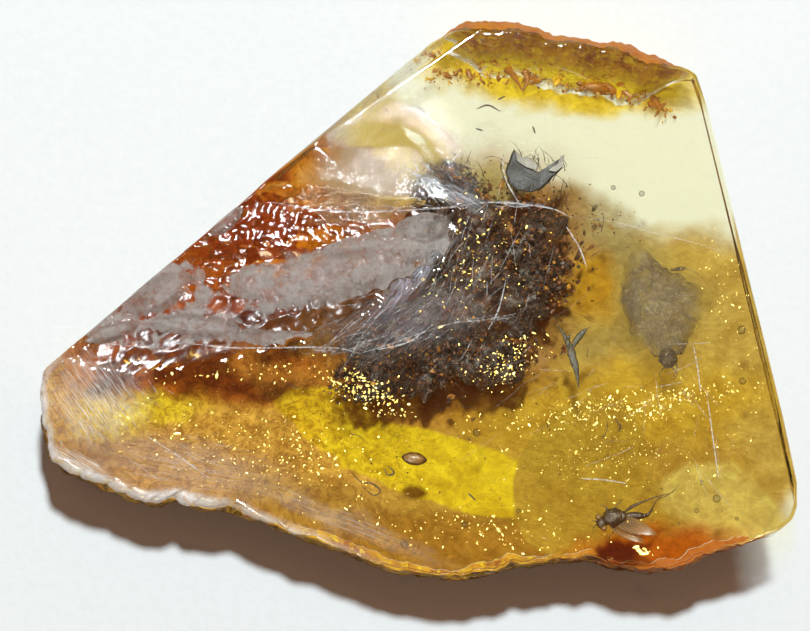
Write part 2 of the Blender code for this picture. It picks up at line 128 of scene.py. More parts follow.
# Worn shoulder beside the hollow: lines, and how steeply the height rises beyond each. It falls
# toward the back, with a bank at its right, left and back.
SHOULDER_DROP = 0.02
SHOULDER_SLOPES = [
    (((-7.0, 3.3), (3.0, 3.3)), -math.tan(math.radians(9.5))),
    (((-0.75, 6.9), (1.75, 3.3)), 0.6),
    (((-3.0, 3.4), (-3.6, 6.0)), 0.6),
    (((-4.0, 5.9), (1.5, 6.1)), 0.5),
]
SHOULDER_BLEND = 0.08
MOUND_PLACE = (-3.8, 4.8)
MOUND_RADIUS = 0.9
MOUND_HEIGHT = 0.4
TROUGH_TURN = math.radians(62)
TROUGH_DEPTH = 0.16

# Unpolished hollow: the underside of a flattened sphere
HOLLOW_CENTRE = np.array([-6.0, 1.0, 6.55])
HOLLOW_RADII = np.array([12.2, 4.3, 2.3])
HOLLOW_TURN = math.radians(20)
HOLLOW_SINK = 0.09
HOLLOW_BACK = ((-7.0, 3.75), (2.0, 3.45))
HOLLOW_BACK_SLOPE = 0.9
HOLLOW_BLEND = 0.12

# Shelf at the hollow's back: where it starts, its height and fall, and the X range where it ends
SHELF_FRONT = 2.0
SHELF_EASE = 0.6
SHELF_HEIGHT = 4.5
SHELF_SLOPE = 0.12
SHELF_END = (-2.5, -1.0)

# Pebbles of the hollow, large and small
KNOB_SIZE = 0.7
KNOB_REACH = 0.62
KNOB_SWAY = 0.22
KNOB_HEIGHT = 0.2
GRAIN_SIZE = 0.4
GRAIN_HEIGHT = 0.04

DEBRIS_OUTLINE = [
    (-0.5, 4.8), (0.3, 3.4), (0.3, 1.6), (-0.9, 0.0), (-2.7, -1.2), (-3.9, -2.0), (-4.3, -3.4),
    (-3.7, -4.8), (-1.9, -5.2), (0.1, -5.0), (1.5, -4.4), (3.3, -4.1), (5.0, -3.4), (4.7, -2.1),
    (5.7, -1.2), (6.7, 0.0), (7.3, 1.8), (7.0, 3.1), (5.7, 3.9), (4.1, 4.4), (2.7, 5.4), (1.3, 6.0),
    (-0.5, 5.9),
]
BROAD_OUTLINE = [
    (8.64, 1.89), (8.32, 1.18), (8.14, 0.46), (8.05, -0.24), (8.24, -0.88), (8.59, -1.32),
    (9.04, -1.86), (9.44, -2.31), (9.75, -2.55), (10.1, -2.5), (10.3, -2.1), (10.86, -1.86),
    (11.15, -1.28), (11.4, -0.6), (11.4, 0.1), (11.2, 0.46), (10.74, 0.86), (10.06, 1.2),
    (9.44, 1.66), (9.04, 1.95),
]


def turned(x, y, angle):
    """Plan coordinates turned clockwise by an angle."""
    return x * math.cos(angle) + y * math.sin(angle), y * math.cos(angle) - x * math.sin(angle)


def smoothstep(low, high, values):
    """Eased step from 0 at low to 1 at high."""
    share = np.clip((values - low) / (high - low), 0.0, 1.0)
    return share * share * (3.0 - 2.0 * share)


def smooth_min(a, b, blend):
    """Lower of two heights, rounded over a blend width where they meet."""
    share = np.clip(0.5 + 0.5 * (b - a) / blend, 0.0, 1.0)
    return b + (a - b) * share - blend * share * (1.0 - share)


@lru_cache(maxsize=None)
def lattice(seed):
    """Random numbers from -1 to 1 on a cubic lattice."""
    return np.random.default_rng(seed).uniform(-1.0, 1.0, (32, 32, 32))


def solid_noise(places, size, seed):
    """Value noise from -1 to 1: a random lattice eased between its corners."""
    cell = np.asarray(places, float) / size
    low = np.floor(cell).astype(int)
    ease = cell - low
    ease = ease * ease * (3.0 - 2.0 * ease)
    total = np.zeros(cell.shape[:-1])
    for corner in range(8):
        step = np.array([(corner >> axis) & 1 for axis in range(3)])
        index = (low + step) % 32
        weight = np.prod(np.where(step, ease, 1.0 - ease), axis=-1)
        total += weight * lattice(seed)[index[..., 0], index[..., 1], index[..., 2]]
    return total


def fractal(places, size, octaves, seed):
    """Sum of value noises, each of half the size and height of the one before."""
    total = 0.0
    for octave in range(octaves):
        total = total + solid_noise(places, size / 2**octave, seed + octave) / 2**octave
    return total / (2.0 - 2.0 ** (1 - octaves))


def plan_noise(x, y, size, octaves, seed):
    """Fractal noise read on the plan."""
    return fractal(np.stack([x, y, np.full_like(x, 0.37)], axis=-1), size, octaves, seed)


def cell_distance(x, y, size, seed):
    """Distance to the nearest of one jittered point in each square cell, in cells."""
    jitter = np.random.default_rng(seed).uniform(0.0, 1.0, (64, 64, 2))
    column = np.floor(x / size).astype(int)
    row = np.floor(y / size).astype(int)
    nearest = np.full(np.shape(x), 9.0)
    for step_x in (-1, 0, 1):
        for step_y in (-1, 0, 1):
            point = jitter[(column + step_x) % 64, (row + step_y) % 64]
            gap_x = column + step_x + point[..., 0] - x / size
            gap_y = row + step_y + point[..., 1] - y / size
            nearest = np.minimum(nearest, np.hypot(gap_x, gap_y))
    return nearest


def even_line(points, count, closed=False):
    """Evenly spaced samples along a line of plan points; a closed line comes back to its start."""
    points = np.array(points, float)
    if closed:
        points = np.concatenate([points, points[:1]])
    reach = np.concatenate([[0.0], np.cumsum(np.linalg.norm(np.diff(points, axis=0), axis=1))])
    along = np.linspace(0.0, reach[-1], count, endpoint=False)
    return np.column_stack([np.interp(along, reach, points[:, axis]) for axis in (0, 1)])


def ring_average(values, reach):
    """Mean of each ring value and its neighbours to a reach on both sides."""
    total = values.copy()
    for step in range(1, reach + 1):
        total = total + np.roll(values, step, axis=0) + np.roll(values, -step, axis=0)
    return total / (2 * reach + 1)


def outline_table():
    """Outline of the slab at even steps: places, outward normals and crust shares, front and back."""
    sides = [("front", CRUST_FRONT), ("sawn", SAWN_RIGHT), ("back", CRUST_BACK), ("sawn", SAWN_LEFT)]
    lengths = [np.linalg.norm(np.diff(np.array(side), axis=0), axis=1).sum() for _, side in sides]
    places = []
    shares = {"front": [], "back": []}
    for (kind, side), length in zip(sides, lengths):
        count = round(OUTLINE_SAMPLES * length / sum(lengths))
        places.append(even_line(side, count))
        reach = np.linspace(0.0, length, count, endpoint=False)
        crust = np.clip(np.minimum(reach, length - reach) / CRUST_FADE, 0.0, 1.0)
        for name, values in shares.items():
            values.append(crust if name == kind else np.zeros(count))
    places = ring_average(np.concatenate(places), 9)
    shares = {name: np.concatenate(values) for name, values in shares.items()}
    along = np.roll(places, -70, axis=0) - np.roll(places, 70, axis=0)
    along /= np.linalg.norm(along, axis=1, keepdims=True)
    normals = np.column_stack([along[:, 1], -along[:, 0]])
    return places, ring_average(normals, 30), shares["front"], shares["back"]


OUTLINE_PLACES, OUTLINE_NORMALS, FRONT_SHARE, BACK_SHARE = outline_table()


def on_outline(turn):
    """Outline place, outward normal, front share and back share at turns from 0 to 1."""
    count = len(OUTLINE_PLACES)
    position = np.asarray(turn) % 1.0 * count
    low = np.floor(position).astype(int) % count
    share = (position - np.floor(position))[..., None]
    high = (low + 1) % count
    place = OUTLINE_PLACES[low] * (1 - share) + OUTLINE_PLACES[high] * share
    normal = OUTLINE_NORMALS[low] * (1 - share) + OUTLINE_NORMALS[high] * share
    return place, normal, FRONT_SHARE[low], BACK_SHARE[low]


def side_point(turn, height):
    """Plan place of the slab's side at a turn round it and a height, with the crust's lumps."""
    place, normal, front, back = on_outline(turn)
    crust = front + back
    inset = 0.0
    for share, kind in ((1 - crust, "sawn"), (front, "front"), (back, "back")):
        inset = inset + share * np.interp(height, *zip(*SIDE_PROFILES[kind]))
    at = np.concatenate([place, np.broadcast_to(height, place.shape[:-1])[..., None]], axis=-1)
    lump = 0.15 * fractal(at, 1.9, 2, 11) + 0.13 * solid_noise(at, 0.62, 17)
    lump = lump + 0.11 * np.abs(solid_noise(at, 0.34, 23)) + 0.04 * solid_noise(at, 0.16, 29)
    flat = 0.004 * solid_noise(at, 2.5, 31)
    return place + normal * (crust * lump + (1 - crust) * flat - inset)[..., None]


def beyond(line, x, y):
    """Signed plan distance to the left of a line from its start to its end."""
    (start_x, start_y), (end_x, end_y) = line
    length = math.hypot(end_x - start_x, end_y - start_y)
    return ((end_x - start_x) * (y - start_y) - (end_y - start_y) * (x - start_x)) / length


def hollow_bowl(x, y):
    """Height of the smooth hollow: a flattened sphere's underside, a back shelf and its bank."""
    along, across = turned(x - HOLLOW_CENTRE[0], y - HOLLOW_CENTRE[1], HOLLOW_TURN)
    rest = 1.0 - (along / HOLLOW_RADII[0]) ** 2 - (across / HOLLOW_RADII[1]) ** 2
    bowl = HOLLOW_CENTRE[2] - HOLLOW_RADII[2] * np.sqrt(np.clip(rest, 0.0, 1.0)) - HOLLOW_SINK
    shelf = SHELF_HEIGHT - SHELF_SLOPE * (y - SHELF_FRONT)
    share = smoothstep(SHELF_FRONT - SHELF_EASE, SHELF_FRONT, y) * (1 - smoothstep(*SHELF_END, x))
    bowl = bowl + share * (shelf - bowl)
    return bowl + HOLLOW_BACK_SLOPE * np.maximum(beyond(HOLLOW_BACK, x, y), 0.0)


def knobs(x, y):
    """Height of the hollow's pebbles: a rounded knob in each cell of two jittered grids."""
    sway_x = x + KNOB_SWAY * plan_noise(x, y, 0.9, 1, 41)
    sway_y = y + KNOB_SWAY * plan_noise(x, y, 0.9, 1, 43)
    large, small = (
        np.clip(1.0 - (cell_distance(sway_x, sway_y, size, seed) / KNOB_REACH) ** 2, 0.0, 1.0)
        for size, seed in ((KNOB_SIZE, 47), (GRAIN_SIZE, 53))
    )
    swell = 0.6 + 0.35 * plan_noise(x, y, 1.7, 2, 57) - 0.35 * smoothstep(1.4, 2.0, y)
    return KNOB_HEIGHT * swell * large + GRAIN_HEIGHT * small + 0.02 * plan_noise(x, y, 0.2, 1, 59)


def shoulder(x, y):
    """Height of the worn shoulder: a tipped plane with banks round it, a mound and long troughs."""
    height = TOP_HEIGHT - SHOULDER_DROP
    for line, slope in SHOULDER_SLOPES:
        height = height + slope * np.maximum(beyond(line, x, y), 0.0)
    mound = np.hypot(x - MOUND_PLACE[0], y - MOUND_PLACE[1]) / MOUND_RADIUS
    along, across = turned(x, y, TROUGH_TURN)
    troughs = TROUGH_DEPTH * plan_noise(along * 0.3, across, 0.6, 3, 71)
    return height + MOUND_HEIGHT * np.exp(-(mound**2)) + troughs


def facet_height(x, y):
    """Height of the ground facets: the lowest of a level plane, falling ones and the shoulder."""
    height = np.full_like(x, TOP_HEIGHT - LEVEL_DROP)
    for ridge, drop, fall in FACETS:
        facet = TOP_HEIGHT - drop - math.tan(math.radians(fall)) * beyond(ridge, x, y)
        height = smooth_min(height, facet, FACET_BLEND)
    return smooth_min(height, shoulder(x, y), SHOULDER_BLEND)


def top_height(x, y):
    """Height of the top: the ground facets, faintly waved, cut by the pebbled hollow."""
    wave = 0.01 * plan_noise(x, y, 3.0, 2, 61) - 0.01
    return smooth_min(facet_height(x, y) + wave, hollow_bowl(x, y) + knobs(x, y), HOLLOW_BLEND)


def to_world(points):
    """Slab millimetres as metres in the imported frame, kept inside the solids' box."""
    world = (np.asarray(points, float) + PLAN_SHIFT) * MM
    return np.clip(world, np.array(CAD_BOX[0]) + 1e-7, np.array(CAD_BOX[1]) - 1e-7)


def put_mesh(name, points, quads=(), tris=(), attributes=None, smooth=True):
    """Object at the origin from slab millimetres, faces and float point attributes."""
    quads = np.asarray(quads, np.int32).reshape(-1, 4)
    tris = np.asarray(tris, np.int32).reshape(-1, 3)
    corners = np.concatenate([quads.ravel(), tris.ravel()])
    starts = np.concatenate([np.arange(len(quads)) * 4, quads.size + np.arange(len(tris)) * 3])
    mesh = bpy.data.meshes.new(name)
    mesh.vertices.add(len(points))
    mesh.vertices.foreach_set("co", to_world(points).astype(np.float32).ravel())
    mesh.loops.add(len(corners))
    mesh.loops.foreach_set("vertex_index", corners)
    mesh.polygons.add(len(starts))
    mesh.polygons.foreach_set("loop_start", starts.astype(np.int32))
    mesh.polygons.foreach_set("use_smooth", np.full(len(starts), smooth))
    mesh.update(calc_edges=True)
    mesh.validate()
    for key, values in (attributes or {}).items():
        layer = mesh.attributes.new(key, "FLOAT", "POINT")
        layer.data.foreach_set("value", np.asarray(values, np.float32).ravel())
    item = bpy.data.objects.new(name, mesh)
    bpy.context.scene.collection.objects.link(item)
    return item


def finish_piece(item, material, replaced=()):
    """Give a piece its material, body, slot and the solids that it stands for."""
    item.data.materials.append(material)
    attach(item, "root")
    if replaced:
        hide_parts(*replaced)


class Heap:
    """Shapes gathered for one mesh: points, faces and one shade value a point."""

    def __init__(self):
        self.points = []
        self.quads = []
        self.tris = []
        self.shades = []
        self.total = 0

    def add(self, points, quads=(), tris=(), shade=0.0):
        """Append one shape or one array of shapes with its faces and its shade."""
        points = np.asarray(points, float).reshape(-1, 3)
        self.points.append(points)
        self.quads.append(np.asarray(quads, int).reshape(-1, 4) + self.total)
        self.tris.append(np.asarray(tris, int).reshape(-1, 3) + self.total)
        self.shades.append(np.broadcast_to(shade, len(points)).astype(float))
        self.total += len(points)

    def put(self, name, smooth=True):
        """Object from everything gathered."""
        points = np.concatenate(self.points)
        quads = np.concatenate(self.quads)
        tris = np.concatenate(self.tris)
        return put_mesh(name, points, quads, tris, {"shade": np.concatenate(self.shades)}, smooth)


def ring_faces(rows, columns):
    """Faces of rows of closed rings: quads between rows, and a fan at each end's extra point."""
    row, column = np.meshgrid(np.arange(rows - 1), np.arange(columns), indexing="ij")
    start = row * columns
    right = (column + 1) % columns
    quads = np.stack(
        [start + column, start + columns + column, start + columns + right, start + right], axis=-1
    )
    around = np.arange(columns)
    beside = (around + 1) % columns
    last = (rows - 1) * columns
    first = np.stack([np.full(columns, rows * columns), around, beside], axis=-1)
    final = np.stack([np.full(columns, rows * columns + 1), last + beside, last + around], axis=-1)
    return quads.reshape(-1, 4), np.concatenate([first, final])


def smooth_path(points, count):
    """Smooth curve through points: each stretch is a cubic that leans on its two neighbours."""
    points = np.array(points, float)
    ends = np.concatenate([2 * points[:1] - points[1:2], points, 2 * points[-1:] - points[-2:-1]])
    at = np.linspace(0.0, len(points) - 1.0, count)
    low = np.minimum(at.astype(int), len(points) - 2)
    share = (at - low)[:, None]
    before, start, end, after = (ends[low + step] for step in range(4))
    square = (2 * before - 5 * start + 4 * end - after) * share**2
    cube = (3 * start - 3 * end + after - before) * share**3
    return 0.5 * (2 * start + (end - before) * share + square + cube)


def tube(path, radii, sides=8, flat=1.0):
    """Round profile carried along a path, its ends closed to points; flat squeezes its height."""
    path = np.asarray(path, float)
    radii = np.broadcast_to(radii, len(path))
    along = np.gradient(path, axis=0)
    along /= np.maximum(np.linalg.norm(along, axis=1, keepdims=True), 1e-9)
    side = np.cross(along, (0.03, 0.02, 1.0))
    side /= np.maximum(np.linalg.norm(side, axis=1, keepdims=True), 1e-9)
    up = np.cross(side, along)
    angle = np.arange(sides) * math.tau / sides
    ring = side[:, None] * np.cos(angle)[:, None] + up[:, None] * np.sin(angle)[:, None] * flat
    rows = path[:, None] + ring * radii[:, None, None]
    first = path[0] - along[0] * radii[0] * 0.6
    final = path[-1] + along[-1] * radii[-1] * 0.6
    points = np.concatenate([rows.reshape(-1, 3), [first, final]])
    return points, *ring_faces(len(path), sides)


def lobe(centre, radii, turn=0.0, rows=14, sides=20, lump=0.0, seed=0):
    """Ball squeezed to three radii, lumped by noise along its own rays and turned in plan."""
    polar = np.linspace(0.0, math.pi, rows + 1)[1:-1][:, None]
    angle = np.arange(sides) * math.tau / sides
    flat = np.broadcast_to(np.cos(polar), (rows - 1, sides))
    ball = np.stack([np.sin(polar) * np.cos(angle), np.sin(polar) * np.sin(angle), flat], axis=-1)
    ball = np.concatenate([ball.reshape(-1, 3), [(0.0, 0.0, 1.0), (0.0, 0.0, -1.0)]])
    points = ball * np.array(radii)
    if lump:
        swell = fractal(points + np.array(centre), max(radii) * 0.45, 2, seed)
        points = points * (1.0 + lump * swell[:, None])
    x, y = turned(points[:, 0], points[:, 1], -turn)
    points = np.column_stack([x, y, points[:, 2]]) + np.array(centre)
    return points, *ring_faces(rows - 1, sides)


def pad(outline, centre, low, high, rings=16, columns=160, ragged=0.0, lump=0.0, seed=0, edge=0.5):
    """Closed pad on a plan outline: rings drawn in to the centre, bulged by a power of their size."""
    rim = even_line(outline, columns, closed=True)
    centre = np.array(centre, float)
    if ragged:
        shift = ragged * plan_noise(rim[:, 0], rim[:, 1], 0.7, 3, seed)
        rim = rim + (rim - centre) * shift[:, None]
    size = np.arange(1, rings + 1) / rings
    plan = centre + size[:, None, None] * (rim - centre)
    bulge = ((1.0 - size**2) ** edge)[:, None]
    middle = (low + high) / 2
    half = (high - low) / 2
    rough = lump * plan_noise(plan[..., 0], plan[..., 1], 0.9, 3, seed + 5) * np.minimum(bulge * 2, 1.0)
    upper = np.concatenate([plan, (middle + half * bulge + rough)[..., None]], axis=-1)
    under = np.concatenate([plan, (middle - half * bulge + rough)[..., None]], axis=-1)[-2::-1]
    ends = [(*centre, middle + half), (*centre, middle - half)]
    points = np.concatenate([upper.reshape(-1, 3), under.reshape(-1, 3), ends])
    return points, *ring_faces(2 * rings - 1, columns)


CHIP_SHARE = 0.525731
CHIP_REACH = 0.850651
CHIP_POINTS = np.array(
    [
        (-CHIP_SHARE, 0, CHIP_REACH), (CHIP_SHARE, 0, CHIP_REACH), (-CHIP_SHARE, 0, -CHIP_REACH),
        (CHIP_SHARE, 0, -CHIP_REACH), (0, CHIP_REACH, CHIP_SHARE), (0, CHIP_REACH, -CHIP_SHARE),
        (0, -CHIP_REACH, CHIP_SHARE), (0, -CHIP_REACH, -CHIP_SHARE), (CHIP_REACH, CHIP_SHARE, 0),
        (-CHIP_REACH, CHIP_SHARE, 0), (CHIP_REACH, -CHIP_SHARE, 0), (-CHIP_REACH, -CHIP_SHARE, 0),
    ]
)
CHIP_SIZE = len(CHIP_POINTS)
CHIP_FACES = np.array(
    [
        (0, 1, 4), (0, 4, 9), (9, 4, 5), (4, 8, 5), (4, 1, 8), (8, 1, 10), (8, 10, 3), (5, 8, 3),
        (5, 3, 2), (2, 3, 7), (7, 3, 10), (7, 10, 6), (7, 6, 11), (11, 6, 0), (0, 6, 1), (6, 10, 1),
        (9, 11, 0), (9, 2, 11), (9, 5, 2), (7, 11, 2),
    ]
)


def crumbs(random, centres, sizes, stretch=(1.0, 1.0, 1.0), ragged=0.3, tilt=math.pi):
    """Twenty-sided chips: each stretched, made ragged point by point and tipped at random."""
    count = len(centres)
    shape = CHIP_POINTS * (1.0 + random.uniform(-ragged, ragged, (count, CHIP_SIZE, 1)))
    shape = shape * np.array(stretch) * random.uniform(0.7, 1.3, (count, 1, 3))
    angles = np.column_stack([random.uniform(-tilt, tilt, (count, 2)), random.uniform(0, math.tau, count)])
    for axis, (first, second) in enumerate([(1, 2), (2, 0), (0, 1)]):
        cosine = np.cos(angles[:, axis])[:, None]
        sine = np.sin(angles[:, axis])[:, None]
        kept = shape[..., first].copy()
        shape[..., first] = cosine * kept - sine * shape[..., second]
        shape[..., second] = sine * kept + cosine * shape[..., second]
    points = centres[:, None] + shape * np.asarray(sizes)[:, None, None]
    faces = CHIP_FACES + CHIP_SIZE * np.arange(count)[:, None, None]
    return points.reshape(-1, 3), faces.reshape(-1, 3)


def inside(outline, x, y):
    """Whether plan points lie inside a closed outline: an odd number of sides crossed."""
    outline = np.array(outline)
    within = np.zeros(np.shape(x), bool)
    for (start_x, start_y), (end_x, end_y) in zip(outline, np.roll(outline, -1, axis=0)):
        spans = (start_y > y) != (end_y > y)
        rise = end_y - start_y if end_y != start_y else 1.0
        within ^= spans & (x < (end_x - start_x) * (y - start_y) / rise + start_x)
    return within


def outline_gap(outline, x, y):
    """Plan distance from points to the nearest side of a closed outline."""
    outline = np.array(outline)
    nearest = np.full(np.shape(x), 99.0)
    for start, end in zip(outline, np.roll(outline, -1, axis=0)):
        along = end - start
        share = ((x - start[0]) * along[0] + (y - start[1]) * along[1]) / (along @ along)
        share = np.clip(share, 0.0, 1.0)
        gap = np.hypot(x - start[0] - share * along[0], y - start[1] - share * along[1])
        nearest = np.minimum(nearest, gap)
    return nearest


def square_turn(a, b):
    """Ring size and turn of places in a square: rings are squares, turns run round them."""
    ring = np.maximum(np.abs(a), np.abs(b))
    safe = np.where(ring > 0, ring, 1.0)
    turn = np.where((b >= ring) & (a > -ring), 0.5 + (1 - a / safe) / 8, 0.75 + (1 - b / safe) / 8)
    turn = np.where((a >= ring) & (b < ring), 0.25 + (b / safe + 1) / 8, turn)
    turn = np.where((b <= -ring) & (a < ring), (a / safe + 1) / 8, turn)
    return ring, turn % 1.0


def dense_lines(steps, start, stop):
    """Grid lines from -1 to 1, packed closer between start and stop."""
    at = np.linspace(-1.0, 1.0, 801)
    packed = smoothstep(start - 0.15, start + 0.15, at) * smoothstep(stop + 0.15, stop - 0.15, at)
    density = 1.0 + 1.1 * packed
    reach = np.concatenate([[0.0], np.cumsum((density[1:] + density[:-1]) / 2)])
    return np.interp(np.linspace(0.0, reach[-1], steps + 1), reach, at)


def disc_grid(steps):
    """Square grid laid on a disc: ring, turn, quads and the rim's points in turn order."""
    a, b = np.meshgrid(dense_lines(steps, -1.0, 0.15), dense_lines(steps, -0.35, 0.65))
    ring, turn = square_turn(a, b)
    index = np.arange((steps + 1) ** 2).reshape(steps + 1, steps + 1)
    quads = np.stack([index[:-1, :-1], index[:-1, 1:], index[1:, 1:], index[1:, :-1]], axis=-1)
    rim = np.concatenate([index[0, :-1], index[:-1, -1], index[-1, :0:-1], index[:0:-1, 0]])
    return ring.ravel(), turn.ravel(), quads.reshape(-1, 4), rim


def point_normals(points, quads):
    """Unit normals at points: the sum of the cross products of their quads' diagonals."""
    corners = points[quads]
    cross = np.cross(corners[:, 2] - corners[:, 0], corners[:, 3] - corners[:, 1])
    total = np.zeros_like(points)
    for corner in range(4):
        np.add.at(total, quads[:, corner], cross)
    return total / np.maximum(np.linalg.norm(total, axis=1, keepdims=True), 1e-12)


RIM_START = 4.8
RIM_ROUNDS = 4
UNDER_RINGS = (0.997, 0.9, 0.7, 0.45, 0.2)


@lru_cache(maxsize=1)
def slab_shape(steps, wall_rows, edge_round, rim_round):
    """Whole closed surface of the slab: top sheet on a disc grid, side walls and fanned underside.

    The top sheet runs from the middle to the rim along rings of the outline and takes its height from
    the facets and the hollow. Near the rim it falls by a quarter circle. The walls carry the outline
    down through the side profile, and the underside is rings drawn in to the middle.
    """
    ring, turn, quads, rim = disc_grid(steps)
    ring = 1.0 - (1.0 - ring) ** 1.2
    columns = turn[rim]
    place, normal, front, back = on_outline(columns)
    crust = front + back
    worn = smoothstep(-3.0, -8.0, place[:, 0]) * front
    radius = edge_round + (rim_round - edge_round) * worn
    radius = ring_average(np.where(crust > 0.5, np.maximum(radius * worn, 0.06), radius), 6)
    rim_height = np.full(len(columns), RIM_START)
    for _ in range(RIM_ROUNDS):
        rim_plan = side_point(columns, rim_height - radius)
        rim_height = top_height(rim_plan[:, 0], rim_plan[:, 1])

    def at_turn(values):
        """Rim values read at every point's turn."""
        return np.interp(turn, np.append(columns, 1.0), np.append(values, values[0]))

    rim_xy = np.column_stack([at_turn(rim_plan[:, 0]), at_turn(rim_plan[:, 1])])
    plan = SLAB_CENTRE + ring[:, None] * (rim_xy - SLAB_CENTRE)
    out = np.column_stack([at_turn(normal[:, 0]), at_turn(normal[:, 1])])
    from_rim = np.einsum("ij,ij->i", rim_xy - plan, out)
    round_at = at_turn(radius)
    close = np.clip(1.0 - from_rim / round_at, 0.0, 1.0)
    flat = facet_height(plan[:, 0], plan[:, 1])
    height = top_height(plan[:, 0], plan[:, 1])
    top = np.column_stack([plan, height - round_at * (1.0 - np.sqrt(1.0 - close**2))])

    rows = []
    for part in np.linspace(0.0, 1.0, wall_rows + 1)[1:]:
        level = top[rim, 2] * (1.0 - part)
        rows.append(np.column_stack([side_point(columns, level), level]))
    middle = np.array([*SLAB_CENTRE, 0.0])
    rings = rows + [middle + part * (rows[-1] - middle) for part in UNDER_RINGS]
    loops = [rim]
    for row in range(len(rings)):
        loops.append(len(top) + row * len(columns) + np.arange(len(columns)))
    faces = [quads]
    for high, low in zip(loops, loops[1:]):
        faces.append(np.stack([high, low, np.roll(low, -1), np.roll(high, -1)], axis=-1))
    points = np.concatenate([top, *rings, middle[None]])
    centre = np.full(len(columns), len(points) - 1)
    crust_at = np.zeros(len(points))
    for loop in loops[1 : 1 + wall_rows]:
        crust_at[loop] = crust
    crust_at[rim] = crust
    hollow = np.zeros(len(points))
    hollow[: len(top)] = smoothstep(0.03, 0.2, flat - height)
    return {
        "points": points,
        "quads": np.concatenate(faces),
        "fan": np.stack([loops[-1], centre, np.roll(loops[-1], -1)], axis=-1),
        "crust": crust_at,
        "hollow": hollow,
        "top_quads": quads,
        "top_count": len(top),
        "wall_loops": loops[1 : 1 + wall_rows],
        "wall_crust": crust,
        "wall_normals": normal,
    }


def current_slab():
    """Slab surface for the sizes in the panel."""
    sizes = bpy.context.scene.amber_sizes
    return slab_shape(sizes.top_steps, sizes.wall_rows, sizes.edge_round / MM, sizes.rim_round / MM)


class NodeGraph:
    """Short way to add and link the nodes of one node tree."""

    def __init__(self, tree):
        self.tree = tree

    def set(self, socket, value):
        """Link a socket, or give it a plain value."""
        if isinstance(value, bpy.types.NodeSocket):
            self.tree.links.new(value, socket)
        elif socket.type == "RGBA" and len(value) == 3:
            socket.default_value = (*value, 1.0)
        else:
            socket.default_value = value

    def add(self, kind, values=None, **settings):
        """New node with its settings and its inputs."""
        node = self.tree.nodes.new(kind)
        for key, value in settings.items():
            setattr(node, key, value)
        for key, value in (values or {}).items():
            self.set(node.inputs[key], value)
        return node

    def math(self, operation, first, second=0.0):
        """Result of a Math node."""
        return self.add("ShaderNodeMath", {0: first, 1: second}, operation=operation).outputs[0]

    def times(self, first, second):
        """Product of two values."""
        return self.math("MULTIPLY", first, second)

    def mix(self, share, first, second, blend="MIX"):
        """Result of mixing two colours."""
        node = self.add("ShaderNodeMix", {"Factor": share}, data_type="RGBA", blend_type=blend)
        self.set(node.inputs[6], first)
        self.set(node.inputs[7], second)
        return node.outputs[2]

    def ramp(self, value, low, high, start=0.0, end=1.0):
        """Smooth step of a value from start at low to end at high."""
        values = {"Value": value, "From Min": low, "From Max": high, "To Min": start, "To Max": end}
        return self.add("ShaderNodeMapRange", values, interpolation_type="SMOOTHSTEP").outputs["Result"]

    def noise(self, place, scale, detail=3.0, roughness=0.55, distortion=0.0):
        """Factor of a noise texture."""
        values = {"Vector": place, "Scale": scale, "Detail": detail}
        values.update({"Roughness": roughness, "Distortion": distortion})
        return self.add("ShaderNodeTexNoise", values).outputs["Fac"]

    def attribute(self, name):
        """Value of a point attribute."""
        return self.add("ShaderNodeAttribute", attribute_name=name).outputs["Fac"]

    def group(self, tree, values):
        """First output of a placed node group."""
        return self.add("ShaderNodeGroup", values, node_tree=tree).outputs[0]

    def bump(self, height, distance, strength=1.0):
        """Normal bent by a height, its distance in metres."""
        values = {"Strength": strength, "Distance": distance, "Height": height}
        return self.add("ShaderNodeBump", values).outputs[0]

    def principled(self, values):
        """Shader of a Principled BSDF."""
        return self.add("ShaderNodeBsdfPrincipled", values).outputs[0]


def node_group(name, inputs, output, fill):
    """Node group made once: named inputs with defaults, one named output, and what fills it."""
    if name in bpy.data.node_groups:
        return bpy.data.node_groups[name]
    tree = bpy.data.node_groups.new(name, "ShaderNodeTree")
    for label, default in inputs.items():
        kind = "NodeSocketFloat" if isinstance(default, float) else "NodeSocketVector"
        tree.interface.new_socket(label, in_out="INPUT", socket_type=kind).default_value = default
    tree.interface.new_socket(output, in_out="OUTPUT", socket_type="NodeSocketFloat")
    graph = NodeGraph(tree)
    result = fill(graph, graph.add("NodeGroupInput").outputs)
    graph.add("NodeGroupOutput", {output: result})
    return tree


def plan_turn(graph, place, angle):
    """Place turned back in plan by an angle."""
    back = graph.times(angle, -1.0)
    values = {"Vector": place, "Angle": back}
    return graph.add("ShaderNodeVectorRotate", values, rotation_type="Z_AXIS").outputs[0]


def vector_math(graph, operation, *values):
    """Vector result of a Vector Math node."""
    return graph.add("ShaderNodeVectorMath", dict(enumerate(values)), operation=operation).outputs[0]


def fill_soft_patch(graph, given):
    """Distance from the centre in turned half widths, eased from 1 inside to 0 outside."""
    moved = vector_math(graph, "SUBTRACT", given["Place"], given["Centre"])
    flat = vector_math(graph, "MULTIPLY", plan_turn(graph, moved, given["Turn"]), (1.0, 1.0, 0.0))
    sized = vector_math(graph, "DIVIDE", flat, given["Radii"])
    reach = graph.add("ShaderNodeVectorMath", {0: sized}, operation="LENGTH").outputs["Value"]
    low = graph.math("SUBTRACT", 1.0, given["Softness"])
    high = graph.math("ADD", 1.0, given["Softness"])
    return graph.ramp(reach, low, high, 1.0, 0.0)


def fill_streaks(graph, given):
    """Noise read on coordinates turned in plan and drawn out along X."""
    along = graph.math("DIVIDE", 1.0, given["Length"])
    across = graph.math("DIVIDE", 1.0, given["Width"])
    scale = graph.add("ShaderNodeCombineXYZ", {"X": along, "Y": across, "Z": across}).outputs[0]
    sized = vector_math(graph, "MULTIPLY", plan_turn(graph, given["Place"], given["Turn"]), scale)
    return graph.noise(sized, 1.0, 3.0, 0.65, 0.35)


